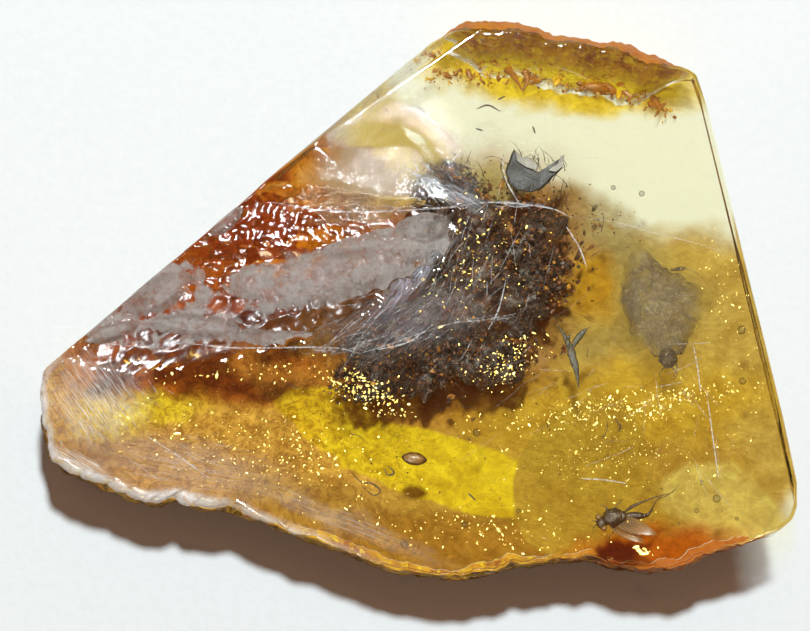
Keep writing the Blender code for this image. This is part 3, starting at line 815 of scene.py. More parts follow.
def patch_mask(graph, place, centre, radii, turn, softness):
    """Mask of one soft ellipse, its place in millimetres and its turn in degrees."""
    zero = (0.0, 0.0, 0.0)
    inputs = {"Place": zero, "Centre": zero, "Radii": (1.0, 1.0, 1.0), "Turn": 0.0, "Softness": 0.3}
    tree = node_group("soft_patch", inputs, "Mask", fill_soft_patch)
    values = {"Place": place, "Centre": (*centre, 0.0), "Radii": (*radii, 1.0)}
    return graph.group(tree, values | {"Turn": math.radians(turn), "Softness": softness})


def streaks(graph, place, turn, length, width):
    """Noise drawn out along one direction, its turn in degrees."""
    inputs = {"Place": (0.0, 0.0, 0.0), "Turn": 0.0, "Length": 2.0, "Width": 0.1}
    tree = node_group("streaks", inputs, "Value", fill_streaks)
    values = {"Place": place, "Turn": math.radians(turn), "Length": length, "Width": width}
    return graph.group(tree, values)


def slab_place(graph):
    """Object coordinates in the slab's own millimetres."""
    coordinates = graph.add("ShaderNodeTexCoord").outputs["Object"]
    values = {"Vector": coordinates, "Location": tuple(-PLAN_SHIFT), "Scale": (1 / MM, 1 / MM, 1 / MM)}
    return graph.add("ShaderNodeMapping", values).outputs[0]


def split_place(graph, place, axis):
    """One coordinate of a place."""
    return graph.add("ShaderNodeSeparateXYZ", {"Vector": place}).outputs[axis]


def swayed_place(graph, place, scale, reach):
    """Place pushed about in plan by a coloured noise."""
    noise = graph.add("ShaderNodeTexNoise", {"Vector": place, "Scale": scale, "Detail": 2.0})
    centred = vector_math(graph, "SUBTRACT", noise.outputs["Color"], (0.5, 0.5, 0.5))
    return vector_math(graph, "MULTIPLY_ADD", centred, (reach, reach, 0.0), place)


def lamp_faded(graph, alpha, share):
    """Alpha lowered by a share for the rays that cast shadows, as in a thin lit body."""
    shadow = graph.add("ShaderNodeLightPath").outputs["Is Shadow Ray"]
    kept = graph.math("SUBTRACT", 1.0, graph.times(shadow, share))
    return graph.times(alpha, kept)


def new_material(name):
    """Material with an empty tree, and its graph."""
    material = bpy.data.materials.new(name)
    material.use_nodes = True
    material.node_tree.nodes.clear()
    return material, NodeGraph(material.node_tree)


def surfaced(material, graph, values):
    """Material whose surface is a Principled BSDF with the given inputs."""
    graph.add("ShaderNodeOutputMaterial", {"Surface": graph.principled(values)})
    return material


# Stained parts of the amber, laid one over the other: name, plan centre, half widths, turn in
# degrees, softness, what the stain lets through, and how strong it is
STAINS = [
    ("gold_right", (10.6, -3.4), (6.2, 6.2), 0, 0.12, (0.72, 0.50, 0.13), 1.0),
    ("crust_gold", (5.2, 9.4), (6.4, 1.6), -9, 0.25, (1.0, 0.76, 0.05), 1.0),
    ("front_ground", (1.0, -7.0), (13.0, 5.2), -4, 0.12, (0.66, 0.42, 0.07), 1.0),
    ("olive_middle", (6.9, 0.4), (5.2, 2.5), -8, 0.2, (0.56, 0.42, 0.14), 0.95),
    ("olive_top", (6.4, 3.1), (3.0, 1.3), -20, 0.4, (0.50, 0.40, 0.20), 0.95),
    ("gold_flow", (8.0, -4.4), (6.5, 1.7), 6, 0.35, (0.76, 0.50, 0.05), 0.9),
    ("olive_front", (6.9, -8.0), (3.6, 2.3), 0, 0.12, (0.56, 0.36, 0.045), 0.95),
    ("bubble_clear", (12.2, -8.1), (2.5, 1.7), -25, 0.12, (0.84, 0.68, 0.20), 0.9),
    ("left_ground", (-8.5, -3.5), (9.5, 5.5), -8, 0.15, (0.80, 0.48, 0.10), 1.0),
    ("hollow_red", (-6.6, 1.9), (8.0, 3.4), 30, 0.2, (0.42, 0.085, 0.012), 1.0),
    ("hollow_glow", (-5.2, 1.9), (3.0, 0.5), 8, 0.5, (0.85, 0.34, 0.02), 0.9),
    ("hollow_glow_left", (-8.9, 0.9), (1.6, 0.8), 20, 0.6, (0.66, 0.20, 0.02), 0.8),
    ("orange_band", (-7.4, -2.7), (6.8, 1.15), -2, 0.35, (0.50, 0.13, 0.012), 1.0),
    ("brown_band", (-5.0, -3.2), (3.0, 0.8), -25, 0.4, (0.50, 0.24, 0.05), 0.7),
    ("lavender_left", (-10.0, -6.6), (4.8, 1.5), -8, 0.4, (0.62, 0.36, 0.16), 0.8),
    ("brown_front", (-2.6, -8.8), (5.6, 1.3), -20, 0.3, (0.56, 0.33, 0.07), 0.85),
    ("low_brown", (1.6, -9.9), (5.6, 1.5), -2, 0.25, (0.50, 0.26, 0.03), 0.95),
    ("debris_shade", (1.6, 0.4), (5.4, 4.1), 52, 0.4, (0.50, 0.16, 0.015), 0.95),
    ("debris_tail", (-1.2, -2.5), (3.2, 1.6), -8, 0.45, (0.46, 0.22, 0.04), 0.9),
    ("yellow_upper", (-3.2, -4.9), (2.6, 1.15), -34, 0.12, (1.0, 0.72, 0.03), 0.97),
    ("yellow_window", (1.2, -6.7), (5.0, 1.4), -16, 0.07, (1.0, 0.77, 0.026), 1.0),
    ("olive_edge", (6.5, -6.9), (3.4, 2.5), 64, 0.035, (0.62, 0.41, 0.05), 1.0),
    ("deep_orange", (9.2, -10.2), (3.4, 1.25), 8, 0.4, (0.60, 0.15, 0.004), 1.0),
    ("orange_glow", (7.0, 0.5), (0.9, 1.4), 0, 0.5, (0.70, 0.38, 0.02), 0.9),
    ("left_glow", (-11.2, -4.4), (2.3, 0.75), 12, 0.5, (1.0, 0.80, 0.05), 1.0),
    ("left_glow_low", (-13.0, -4.0), (0.8, 0.5), 30, 0.6, (1.0, 0.76, 0.16), 0.8),
    ("shoulder_orange", (-4.0, 4.8), (1.1, 1.2), 0, 0.4, (0.76, 0.32, 0.012), 1.0),
    ("shoulder_brown", (-1.6, 5.1), (2.8, 1.9), 20, 0.3, (0.58, 0.46, 0.38), 0.95),
    ("debris_top", (2.2, 4.7), (2.2, 1.0), -12, 0.4, (0.56, 0.46, 0.22), 0.9),
    ("shoulder_gold", (-0.8, 6.6), (2.8, 1.1), -40, 0.4, (0.84, 0.68, 0.24), 0.9),
]

# Stains softer than this sway widely with the flow of the resin, and sharper ones only a little
SHARP_STAIN = 0.1


def stain_colour(graph, place):
    """What the stains let through, one laid over the other, on a clear ground."""
    swayed = swayed_place(graph, place, 0.6, 1.8)
    steady = swayed_place(graph, place, 1.2, 0.3)
    colour = graph.mix(0.0, (1.0, 1.0, 1.0), (1.0, 1.0, 1.0))
    for name, centre, radii, turn, softness, tint, strength in STAINS:
        at = swayed if softness > SHARP_STAIN else steady
        mask = patch_mask(graph, at, centre, radii, turn, softness)
        mask.node.label = name
        colour = graph.mix(graph.times(mask, strength), colour, tint)
    return colour


def amber_material():
    """Clear amber: refracting, absorbing blue, stained below, crusted at its natural sides."""
    colours = bpy.context.scene.amber_colours
    sizes = bpy.context.scene.amber_sizes
    material, graph = new_material("amber")
    place = slab_place(graph)
    crust = graph.attribute("crust")
    hollow = graph.attribute("hollow")

    stain = stain_colour(graph, place)
    clouds = graph.noise(place, 0.9, 4.0, 0.65, 0.5)
    flow = streaks(graph, swayed_place(graph, place, 0.5, 2.6), -12, 1.5, 0.22)
    blue = graph.add("ShaderNodeSeparateColor", {0: stain}).outputs["Blue"]
    depth = graph.math("SUBTRACT", 1.0, blue)
    shade = graph.mix(graph.ramp(clouds, 0.3, 0.7), (0.74, 0.66, 0.55), (1.0, 1.0, 1.0))
    stain = graph.mix(depth, stain, shade, "MULTIPLY")
    shade = graph.mix(graph.ramp(flow, 0.38, 0.66), (0.80, 0.72, 0.58), (1.1, 1.1, 1.08))
    stain = graph.mix(graph.times(depth, 0.5), stain, shade, "MULTIPLY")
    speckle = graph.noise(place, 2.3, 4.0, 0.8, 0.8)
    shade = graph.mix(graph.ramp(speckle, 0.36, 0.60), (0.64, 0.50, 0.42), (1.16, 1.14, 1.12))
    left = graph.ramp(split_place(graph, place, "X"), 3.0, -6.0, 0.25, 1.0)
    stain = graph.mix(graph.times(depth, left), stain, shade, "MULTIPLY")
    stain = graph.mix(1.0, stain, stain, "MULTIPLY")
    under = graph.ramp(split_place(graph, place, "Z"), 0.05, 0.4, 1.0, 0.0)
    colour = graph.mix(under, (1.0, 1.0, 1.0), stain)

    mottle = graph.noise(place, 1.7, 4.0, 0.6)
    tint = graph.mix(graph.ramp(mottle, 0.35, 0.65), tuple(colours.crust_dark), tuple(colours.crust_light))
    colour = graph.mix(crust, colour, tint)
    tint = graph.mix(graph.ramp(mottle, 0.38, 0.62), (0.24, 0.05, 0.015), (0.95, 0.5, 0.2))
    colour = graph.mix(graph.times(hollow, 0.75), colour, tint)

    grain = graph.noise(place, 7.0, 4.0, 0.6)
    dull = patch_mask(graph, swayed_place(graph, place, 0.9, 1.4), (-6.0, -0.6), (9.0, 1.7), 18, 0.35)
    dull = graph.ramp(dull, 0.0, 1.0, 0.04, 0.26)
    brushed = patch_mask(graph, swayed_place(graph, place, 0.9, 0.8), (-1.4, 5.2), (3.2, 2.0), 35, 0.3)
    lines = graph.math("SUBTRACT", streaks(graph, place, 62, 1.6, 0.09), 0.5)
    lines = graph.times(lines, brushed)
    rough = graph.math("ADD", graph.times(crust, 0.3), graph.times(hollow, dull))
    rough = graph.math("ADD", rough, graph.ramp(grain, 0.3, 0.8, 0.015, 0.06))
    relief = graph.math("ADD", crust, graph.times(hollow, 0.2))
    relief = graph.math("ADD", graph.times(grain, relief), lines)
    normal = graph.bump(relief, 0.00008, 0.6)
    values = {"Base Color": colour, "Roughness": rough, "Normal": normal}
    shader = graph.principled(values | {"IOR": 1.54, "Transmission Weight": 1.0})
    path = graph.add("ShaderNodeLightPath").outputs
    lamps = graph.math("MAXIMUM", path["Is Shadow Ray"], path["Is Diffuse Ray"])
    front = graph.ramp(split_place(graph, place, "Y"), 2.0, -2.5)
    dimmed = graph.times(graph.times(crust, front), lamps)
    shadow = graph.mix(dimmed, (1.0, 1.0, 1.0), tuple(colours.crust_shadow))
    clear = graph.add("ShaderNodeBsdfTransparent", {"Color": shadow}).outputs[0]
    passing = graph.math("MAXIMUM", lamps, graph.ramp(crust, 0.1, 0.4))
    surface = graph.add("ShaderNodeMixShader", {0: passing, 1: shader, 2: clear}).outputs[0]
    values = {"Color": tuple(colours.body), "Density": sizes.depth_of_colour}
    volume = graph.add("ShaderNodeVolumeAbsorption", values).outputs[0]
    graph.add("ShaderNodeOutputMaterial", {"Surface": surface, "Volume": volume})
    return material


def crust_material():
    """Weathered crust: orange-brown with yellow windows, red cracks and pale chipped spots."""
    material, graph = new_material("crust")
    place = slab_place(graph)
    x, y, height = (split_place(graph, place, axis) for axis in "XYZ")
    broad = graph.noise(place, 0.9, 3.0, 0.6, 0.4)
    fine = graph.noise(place, 3.4, 5.0, 0.65, 0.6)
    colour = graph.mix(graph.ramp(broad, 0.35, 0.62), (0.42, 0.11, 0.006), (0.80, 0.40, 0.012))
    colour = graph.mix(graph.ramp(fine, 0.5, 0.66), colour, (0.95, 0.66, 0.02))
    colour = graph.mix(graph.ramp(fine, 0.40, 0.30), colour, (0.16, 0.035, 0.004))
    chips = graph.ramp(graph.noise(place, 0.8, 4.0, 0.7, 1.0), 0.56, 0.6)
    chips = graph.times(chips, graph.ramp(height, 3.2, 4.2))
    chips = graph.times(chips, graph.ramp(y, 0.0, -4.0))
    colour = graph.mix(chips, colour, (0.55, 0.52, 0.46))
    low = graph.ramp(height, 3.4, 2.4)
    right = graph.ramp(x, 4.0, 8.0)
    right = graph.times(right, graph.ramp(y, -4.0, -7.0))
    colour = graph.mix(graph.times(right, 0.8), colour, (0.52, 0.10, 0.004))
    back = graph.ramp(y, -1.0, 1.0)
    gold = graph.mix(graph.ramp(fine, 0.32, 0.52), (0.62, 0.20, 0.005), (1.0, 0.80, 0.02))
    swayed = graph.math("ADD", height, graph.times(fine, 1.2))
    inner = graph.times(back, graph.ramp(swayed, 2.0, 1.3))
    colour = graph.mix(graph.times(inner, 0.9), colour, gold)
    outer = graph.times(back, graph.ramp(height, 2.6, 3.4))
    colour = graph.mix(graph.times(outer, 0.8), colour, (0.60, 0.16, 0.006))
    windows = graph.ramp(graph.noise(place, 2.1, 3.0, 0.6, 0.8), 0.38, 0.62, 0.55, 0.98)
    windows = graph.math("MAXIMUM", windows, graph.times(back, 0.93))
    share = graph.ramp(graph.attribute("shade"), 0.03, 0.3)
    alpha = graph.math("MAXIMUM", graph.math("MAXIMUM", windows, chips), low)
    ragged = graph.math("ADD", height, graph.times(graph.noise(place, 1.6, 5.0, 0.7), 2.4))
    torn = graph.times(back, graph.ramp(ragged, 1.75, 1.25))
    alpha = graph.times(graph.math("SUBTRACT", alpha, torn), share)
    alpha = lamp_faded(graph, graph.math("MAXIMUM", alpha, 0.0), 0.45)
    normal = graph.bump(fine, 0.00015, 0.8)
    rough = graph.ramp(fine, 0.3, 0.7, 0.35, 0.75)
    values = {"Base Color": colour, "Roughness": rough, "Alpha": alpha, "Normal": normal}
    return surfaced(material, graph, values | {"Specular IOR Level": 0.3})


def film_material():
    """Grey matte film in the low parts of the hollow."""
    material, graph = new_material("hollow_film")
    place = slab_place(graph)
    shade = graph.attribute("shade")
    fine = graph.noise(place, 5.0, 4.0, 0.7)
    lines = streaks(graph, place, 55, 1.2, 0.05)
    colour = graph.mix(fine, (0.15, 0.11, 0.09), (0.38, 0.32, 0.28))
    colour = graph.mix(graph.ramp(lines, 0.6, 0.8, 0.0, 0.5), colour, (0.50, 0.47, 0.45))
    edge = graph.math("ADD", shade, graph.times(graph.math("SUBTRACT", fine, 0.5), 1.8))
    patchy = graph.ramp(graph.noise(place, 1.2, 5.0, 0.7), 0.34, 0.58, 0.45, 0.95)
    alpha = graph.times(graph.ramp(edge, 0.35, 0.95), patchy)
    normal = graph.bump(fine, 0.00003, 0.6)
    values = {"Base Color": colour, "Roughness": 0.55, "Alpha": alpha, "Normal": normal}
    return surfaced(material, graph, values)


# Painted sheens, glints and haze on the brushed polish: the brushing is real wear, the light colours
# laid on it are painted reflections. Name, plan centre, half widths, turn, softness, direction of the
# brushing in degrees, colour and cover
PAINTED_SHEENS = [
    ("centre_stripe", (0.3, 1.6), (2.6, 0.48), 55, 0.6, 55, (0.60, 0.60, 0.84), 0.8),
    ("purple_haze", (-0.9, -1.0), (2.6, 1.1), 10, 0.7, 35, (0.28, 0.20, 0.34), 0.26),
    ("upper_glint", (0.9, 4.3), (1.5, 0.32), -28, 0.7, -28, (0.86, 0.88, 1.0), 0.75),
    ("upper_haze", (0.6, 5.3), (2.0, 1.0), 20, 0.7, 60, (0.34, 0.32, 0.30), 0.2),
    ("chamfer", (-1.3, 8.3), (2.9, 0.35), 42, 0.4, 42, (0.36, 0.31, 0.26), 0.5),
    ("rim_gloss", (-12.6, -7.2), (2.8, 0.35), -30, 0.6, -30, (1.0, 0.95, 0.88), 0.8),
    ("left_brushed", (-12.9, -4.2), (1.7, 1.7), 0, 0.6, -55, (1.0, 0.90, 0.80), 0.6),
    ("front_left", (-9.4, -6.9), (3.8, 0.9), -10, 0.6, -10, (0.80, 0.62, 0.50), 0.35),
    ("front_edge", (-3.2, -8.9), (3.6, 0.4), -22, 0.7, -22, (0.74, 0.66, 0.60), 0.35),
]


def sheen_and_wear_material():
    """Real fine brushing on the polish carrying painted sheen, haze and glints, and a painted highlight
    along the front-left rim; clear elsewhere.
    """
    material, graph = new_material("polish_wear_and_painted_sheen")
    place = slab_place(graph)
    swayed = swayed_place(graph, place, 0.9, 0.8)
    colour = graph.mix(0.0, (0.7, 0.68, 0.65), (0.7, 0.68, 0.65))
    cover = graph.times(graph.ramp(graph.noise(place, 2.5), 0.7, 0.85), 0.03)
    brushing = {}
    # Each sheen's colour is a painted reflection, shown through the real brushing streaks
    for name, centre, radii, turn, softness, grain, tint, strength in PAINTED_SHEENS:
        if grain not in brushing:
            brushing[grain] = graph.ramp(streaks(graph, place, grain, 1.6, 0.05), 0.34, 0.72, 0.12, 1.0)
        mask = patch_mask(graph, swayed, centre, radii, turn, softness)
        mask.node.label = name
        mask = graph.times(mask, brushing[grain])
        colour = graph.mix(mask, colour, tint)
        cover = graph.math("MAXIMUM", cover, graph.times(mask, strength))
    # Painted highlight: near white along the front-left rim, read from the sheet's point shade
    patchy = graph.ramp(graph.noise(place, 2.2, 4.0, 0.7), 0.3, 0.55, 0.35, 1.0)
    rim_highlight = graph.times(graph.times(graph.attribute("shade"), patchy), 0.9)
    colour = graph.mix(rim_highlight, colour, (0.95, 0.93, 0.90))
    cover = graph.math("MAXIMUM", cover, rim_highlight)
    return surfaced(material, graph, {"Base Color": colour, "Roughness": 0.45, "Alpha": cover})


FINE_RELIEF = 0.00003


def mottled_material(name, dark, light, roughness, scale, bright=None, faded=0.0, thin=False):
    """Two colours mottled by noise and by each point's shade, with a fine bumped grain.

    A faded one casts a lighter shadow, and a thin one has thin places that its ground glows through.
    """
    material, graph = new_material(name)
    noise = graph.noise(slab_place(graph), scale, 5.0, 0.65, 0.4)
    spread = graph.times(graph.math("SUBTRACT", noise, 0.5), 1.3)
    mixed = graph.math("ADD", graph.attribute("shade"), spread)
    colour = graph.mix(graph.ramp(mixed, 0.0, 0.8), dark, light)
    if bright:
        colour = graph.mix(graph.ramp(mixed, 0.85, 1.05), colour, bright)
    rough = graph.ramp(noise, 0.3, 0.7, roughness * 0.75, roughness)
    values = {"Base Color": colour, "Roughness": rough, "Normal": graph.bump(noise, FINE_RELIEF)}
    if faded:
        values["Alpha"] = lamp_faded(graph, 1.0, faded)
    if thin:
        patches = graph.noise(slab_place(graph), 0.8, 5.0, 0.72, 0.6)
        values["Alpha"] = graph.ramp(patches, 0.42, 0.56, 0.3, 1.0)
    return surfaced(material, graph, values)


class AmberSizes(PropertyGroup):
    """Sizes of the slab's finish."""

    top_steps: IntProperty(name="Top steps", description="Grid steps across the top sheet", default=256)
    wall_rows: IntProperty(name="Wall rows", description="Rows of points down the sides", default=26)
    edge_round: FloatProperty(
        name="Edge rounding", description="Rounding of the sawn edges", default=0.00012, unit="LENGTH"
    )
    rim_round: FloatProperty(
        name="Rim rounding", description="Rounding of the worn left rim", default=0.0005, unit="LENGTH"
    )
    depth_of_colour: FloatProperty(
        name="Depth of colour", description="Absorption density of the amber per metre", default=55.0
    )


class AmberColours(PropertyGroup):
    """Colours of the amber."""

    body: FloatVectorProperty(
        name="Body", description="Light that the clear amber lets through", subtype="COLOR",
        default=(0.985, 0.93, 0.22),
    )
    crust_dark: FloatVectorProperty(
        name="Dark crust", description="Darker colour of the amber at the crust", subtype="COLOR",
        default=(0.45, 0.12, 0.01),
    )
    crust_light: FloatVectorProperty(
        name="Light crust", description="Lighter colour of the amber at the crust", subtype="COLOR",
        default=(0.95, 0.55, 0.06),
    )
    crust_shadow: FloatVectorProperty(
        name="Crust shadow", description="Light that falls through the front crust onto the floor",
        subtype="COLOR", default=(0.08, 0.035, 0.012),
    )


class StageSettings(PropertyGroup):
    """Lamps and camera."""

    elevation: FloatProperty(
        name="Camera elevation", description="Angle of the camera above the floor", subtype="ANGLE",
        default=math.radians(85),
    )
    distance: FloatProperty(
        name="Camera distance", description="From the camera to the slab", default=0.3, unit="LENGTH"
    )
    key_power: FloatProperty(
        name="Key power", description="Power of the main lamp in watts", default=0.77
    )
    key_colour: FloatVectorProperty(
        name="Key colour", description="Colour of the main lamp", subtype="COLOR",
        default=(0.86, 0.965, 1.0),
    )
    gloss_power: FloatProperty(
        name="Gloss power", description="Power of the lamp that only glosses", default=0.36
    )
    rim_power: FloatProperty(
        name="Rim power", description="Power of the front left lamp that only glosses", default=0.7
    )
    sky: FloatVectorProperty(
        name="Sky", description="Light of the surroundings", subtype="COLOR", default=(0.175, 0.10, 0.062)
    )


class AMBER_OT_slab(Operator):
    """Build the whole clear slab"""

    bl_idname = "amber.slab"
    bl_label = "Amber Slab"

    def execute(self, context):
        shape = current_slab()
        attributes = {"crust": shape["crust"], "hollow": shape["hollow"]}
        slab = put_mesh("amber_slab", shape["points"], shape["quads"], shape["fan"], attributes)
        finish_piece(slab, amber_material(), ("amber_upper", "amber_lower"))
        return {"FINISHED"}


CRUST_DEPTH = 0.012

# Film in the hollow's low parts: plan centre, half widths, turn in degrees and depth
FILM_LIFT = 0.006
FILM_LEVEL = 0.155
FILM_PATCHES = [
    ((-3.0, 1.0), (4.0, 1.05), 18, 1.0), ((-5.8, 0.5), (1.8, 0.8), 0, 1.0),
    ((-10.4, 0.2), (1.5, 0.8), 30, 1.0), ((-9.0, -1.2), (1.8, 0.4), -5, 1.0),
    ((-5.0, -1.8), (2.6, 0.35), -5, 1.0), ((0.2, 2.6), (1.0, 0.6), 10, 1.0),
    ((-7.6, 3.0), (0.7, 0.3), 40, 1.0), ((-12.2, -1.5), (1.0, 0.3), 20, 1.0),
    ((-7.4, -0.2), (6.8, 1.9), 16, 0.2),
]


def used_only(points, quads, values):
    """Points that faces use, with the faces and values renumbered to them."""
    used, flat = np.unique(quads, return_inverse=True)
    return points[used], flat.reshape(quads.shape), values[used]


class AMBER_OT_crust(Operator):
    """Build the weathered skin on the natural sides"""

    bl_idname = "amber.crust"
    bl_label = "Weathered Crust"

    def execute(self, context):
        shape = current_slab()
        loops = np.array(shape["wall_loops"])
        inward = np.column_stack([shape["wall_normals"], np.zeros(loops.shape[1])]) * CRUST_DEPTH
        points = shape["points"][loops] - inward
        index = np.arange(loops.size).reshape(loops.shape)
        beside = np.roll(index, -1, axis=1)
        quads = np.stack([index[:-1], index[1:], beside[1:], beside[:-1]], axis=-1).reshape(-1, 4)
        shares = np.tile(shape["wall_crust"], len(loops))
        kept = quads[(shares[quads] > 0.04).all(axis=1)]
        points, quads, shares = used_only(points.reshape(-1, 3), kept, shares)
        skin = put_mesh("crust_skin", points, quads, attributes={"shade": shares})
        finish_piece(skin, crust_material())
        return {"FINISHED"}


class AMBER_OT_film(Operator):
    """Build the grey film in the hollow"""

    bl_idname = "amber.film"
    bl_label = "Hollow Film"

    def execute(self, context):
        shape = current_slab()
        count = shape["top_count"]
        points = shape["points"][:count].copy()
        x, y = points[:, 0], points[:, 1]
        cover = np.zeros(count)
        for centre, radii, turn, deep in FILM_PATCHES:
            along, across = turned(x - centre[0], y - centre[1], math.radians(turn))
            reach = np.hypot(along / radii[0], across / radii[1])
            cover = np.maximum(cover, deep * smoothstep(1.35, 0.6, reach))
        cover = cover + 0.35 * plan_noise(x, y, 1.3, 3, 81)
        level = hollow_bowl(x, y) + FILM_LEVEL * (0.2 + 1.6 * cover)
        above = level - points[:, 2]
        level = np.minimum(level, facet_height(x, y) - 0.01)
        points[:, 2] = np.maximum(points[:, 2], level) + FILM_LIFT
        wet = smoothstep(-0.05, 0.06, above) * smoothstep(0.05, 0.3, cover)
        shade = wet * smoothstep(0.1, 0.4, shape["hollow"][:count])
        quads = shape["top_quads"]
        kept = quads[(shade[quads] > 0.02).any(axis=1)]
        points, quads, shade = used_only(points, kept, shade)
        film = put_mesh("hollow_film", points, quads, attributes={"shade": shade})
        finish_piece(film, film_material())
        return {"FINISHED"}


WORN_LIFT = 0.005
# Reach from the outline of the painted highlight on the front-left rim
RIM_HIGHLIGHT_REACH = 0.28
SWAY = 0.4


class AMBER_OT_polish(Operator):
    """Build the brushed polish with its painted sheen and painted rim highlight"""

    bl_idname = "amber.polish"
    bl_label = "Polish Wear and Painted Sheen"

    def execute(self, context):
        shape = current_slab()
        points = shape["points"][: shape["top_count"]]
        quads = shape["top_quads"]
        x, y = points[:, 0], points[:, 1]
        gap = outline_gap(OUTLINE_PLACES[::25], x, y) + 0.15 * plan_noise(x, y, 0.8, 3, 87)
        # Painted highlight along the rim, strongest at the front-left
        front = smoothstep(-1.5, -4.5, y) * smoothstep(1.0, -11.0, x)
        reach = RIM_HIGHLIGHT_REACH * (0.35 + front)
        rim_highlight = smoothstep(reach + 0.2, reach * 0.4, gap) * front
        # Keep the faces under the painted rim highlight and the painted sheens
        worn = rim_highlight > 0.0
        for _, centre, radii, turn, softness, _, _, _ in PAINTED_SHEENS:
            along, across = turned(x - centre[0], y - centre[1], math.radians(turn))
            worn |= np.hypot(along / (radii[0] + SWAY), across / (radii[1] + SWAY)) < 1.0 + softness
        kept = quads[(shape["hollow"][quads] < 0.5).any(axis=1) & worn[quads].any(axis=1)]
        raised = points + point_normals(points, quads) * WORN_LIFT
        raised, kept, rim_highlight = used_only(raised, kept, rim_highlight)
        sheen = put_mesh("polish_wear_and_painted_sheen", raised, kept, attributes={"shade": rim_highlight})
        finish_piece(sheen, sheen_and_wear_material())
        return {"FINISHED"}


RIDGE_LINES = [
    [(-5.9, 3.76), (-3.1, 3.36), (0.9, 3.48), (2.9, 3.68), (5.1, 3.48), (6.1, 3.08)],
    [(6.1, 3.08), (7.7, 2.92), (9.3, 2.48), (10.9, 2.08), (12.2, 1.68)],
    [(-13.2, -1.84), (-11.1, -2.04), (-9.3, -1.92), (-7.1, -2.12), (-3.5, -2.12), (-2.3, -2.36)],
    [(-2.3, -2.36), (-0.7, -1.84), (1.3, -1.16), (2.5, -1.04), (3.9, -0.76)],
    [(-3.7, 6.96), (-0.7, 6.6), (2.5, 6.08), (5.7, 5.56), (7.3, 5.48)],
]
RIDGE_WIDTHS = (0.07, 0.05, 0.06, 0.05, 0.03)
RIDGE_SHADES = (0.75, 0.3, 0.8, 0.6, 0.25)
MARKED_WIDTH = 0.055
MARKED_SHADE = 0.9
MARKED_SCRATCHES = [
    [(11.46, -3.84), (11.7, -5.6), (11.94, -7.32)],
    [(10.94, -2.04), (11.1, -2.9), (11.22, -3.84)],
    [(3.34, 5.56), (3.5, 4.6), (4.06, 3.56)],
    [(3.2, 3.7), (3.9, 3.5), (4.8, 3.6)],
    [(3.5, 0.6), (3.2, -0.6), (2.8, -1.4)],
    [(-0.2, 5.5), (0.3, 4.3), (0.9, 3.5)],
    [(6.4, -7.3), (7.4, -7.36), (8.3, -7.5)],
    [(5.9, 2.7), (6.4, 1.9), (6.7, 1.1)],
    [(-10.8, -5.6), (-9.4, -6.5), (-8.3, -7.3)],
    [(-1.6, -2.2), (-0.4, -1.9), (0.6, -1.2)],
]

# Fields of fine scratches: plan centre, half widths, direction in degrees and count
SCRATCH_FIELDS = [
    ((0.5, 0.8), (2.6, 2.4), 60, 90), ((2.6, 1.5), (2.0, 2.5), 75, 30),
    ((-12.4, -4.2), (1.5, 1.4), -50, 40), ((0.8, 4.6), (1.6, 1.2), -30, 40),
    ((-1.5, -1.2), (2.4, 1.2), 35, 60), ((7.0, -3.0), (5.5, 3.5), 15, 35),
    ((10.5, -5.0), (2.0, 2.8), 95, 18), ((-9.0, -6.6), (3.6, 0.9), -20, 40),
    ((4.0, 7.5), (5.0, 2.0), -10, 12),
]

# Scuffs where the ridges are chipped: plan centre, spread and count
SCUFFS = [
    ((3.9, 3.6), 1.3, 60), ((-11.4, -1.95), 1.1, 60), ((-7.8, -2.15), 0.8, 40), ((3.0, -1.0), 0.9, 40),
    ((-3.4, -2.2), 1.6, 70), ((-0.2, -1.7), 0.9, 40), ((-1.6, 3.5), 1.4, 40), ((8.4, 2.75), 0.8, 24),
]
SCRATCH_LIFT = 0.008


def ribbons(heap, lines, widths, shades):
    """Flat strips on the top: each line's points set off to both sides and laid on the surface."""
    strips = []
    for line, width in zip(lines, widths):
        path = smooth_path(line, 6 * len(line))
        along = np.gradient(path, axis=0)
        along /= np.maximum(np.linalg.norm(along, axis=1, keepdims=True), 1e-9)
        side = np.column_stack([along[:, 1], -along[:, 0]])
        taper = np.sin(np.linspace(0.04, 0.96, len(path)) * math.pi) ** 0.5
        rough = 1.0 + 0.5 * plan_noise(path[:, 0], path[:, 1], 0.13, 2, 91)
        half = (width / 2 * taper * rough)[:, None]
        strips.append(np.stack([path - side * half, path + side * half], axis=1).reshape(-1, 2))
    plan = np.concatenate(strips)
    points = np.column_stack([plan, top_height(plan[:, 0], plan[:, 1]) + SCRATCH_LIFT])
    done = 0
    for strip, shade in zip(strips, shades):
        start = 2 * np.arange(len(strip) // 2 - 1)
        quads = np.stack([start, start + 1, start + 3, start + 2], axis=-1)
        heap.add(points[done : done + len(strip)], quads, shade=shade)
        done += len(strip)


def scratch_material():
    """Pale broken scratches, fainter where their shade is low."""
    material, graph = new_material("scratches")
    broken = graph.ramp(graph.noise(slab_place(graph), 6.0, 3.0, 0.7), 0.35, 0.6, 0.25, 1.0)
    alpha = graph.times(graph.times(graph.attribute("shade"), broken), 0.75)
    colour = graph.mix(broken, (0.48, 0.45, 0.44), (0.82, 0.80, 0.80))
    return surfaced(material, graph, {"Base Color": colour, "Roughness": 0.5, "Alpha": alpha})


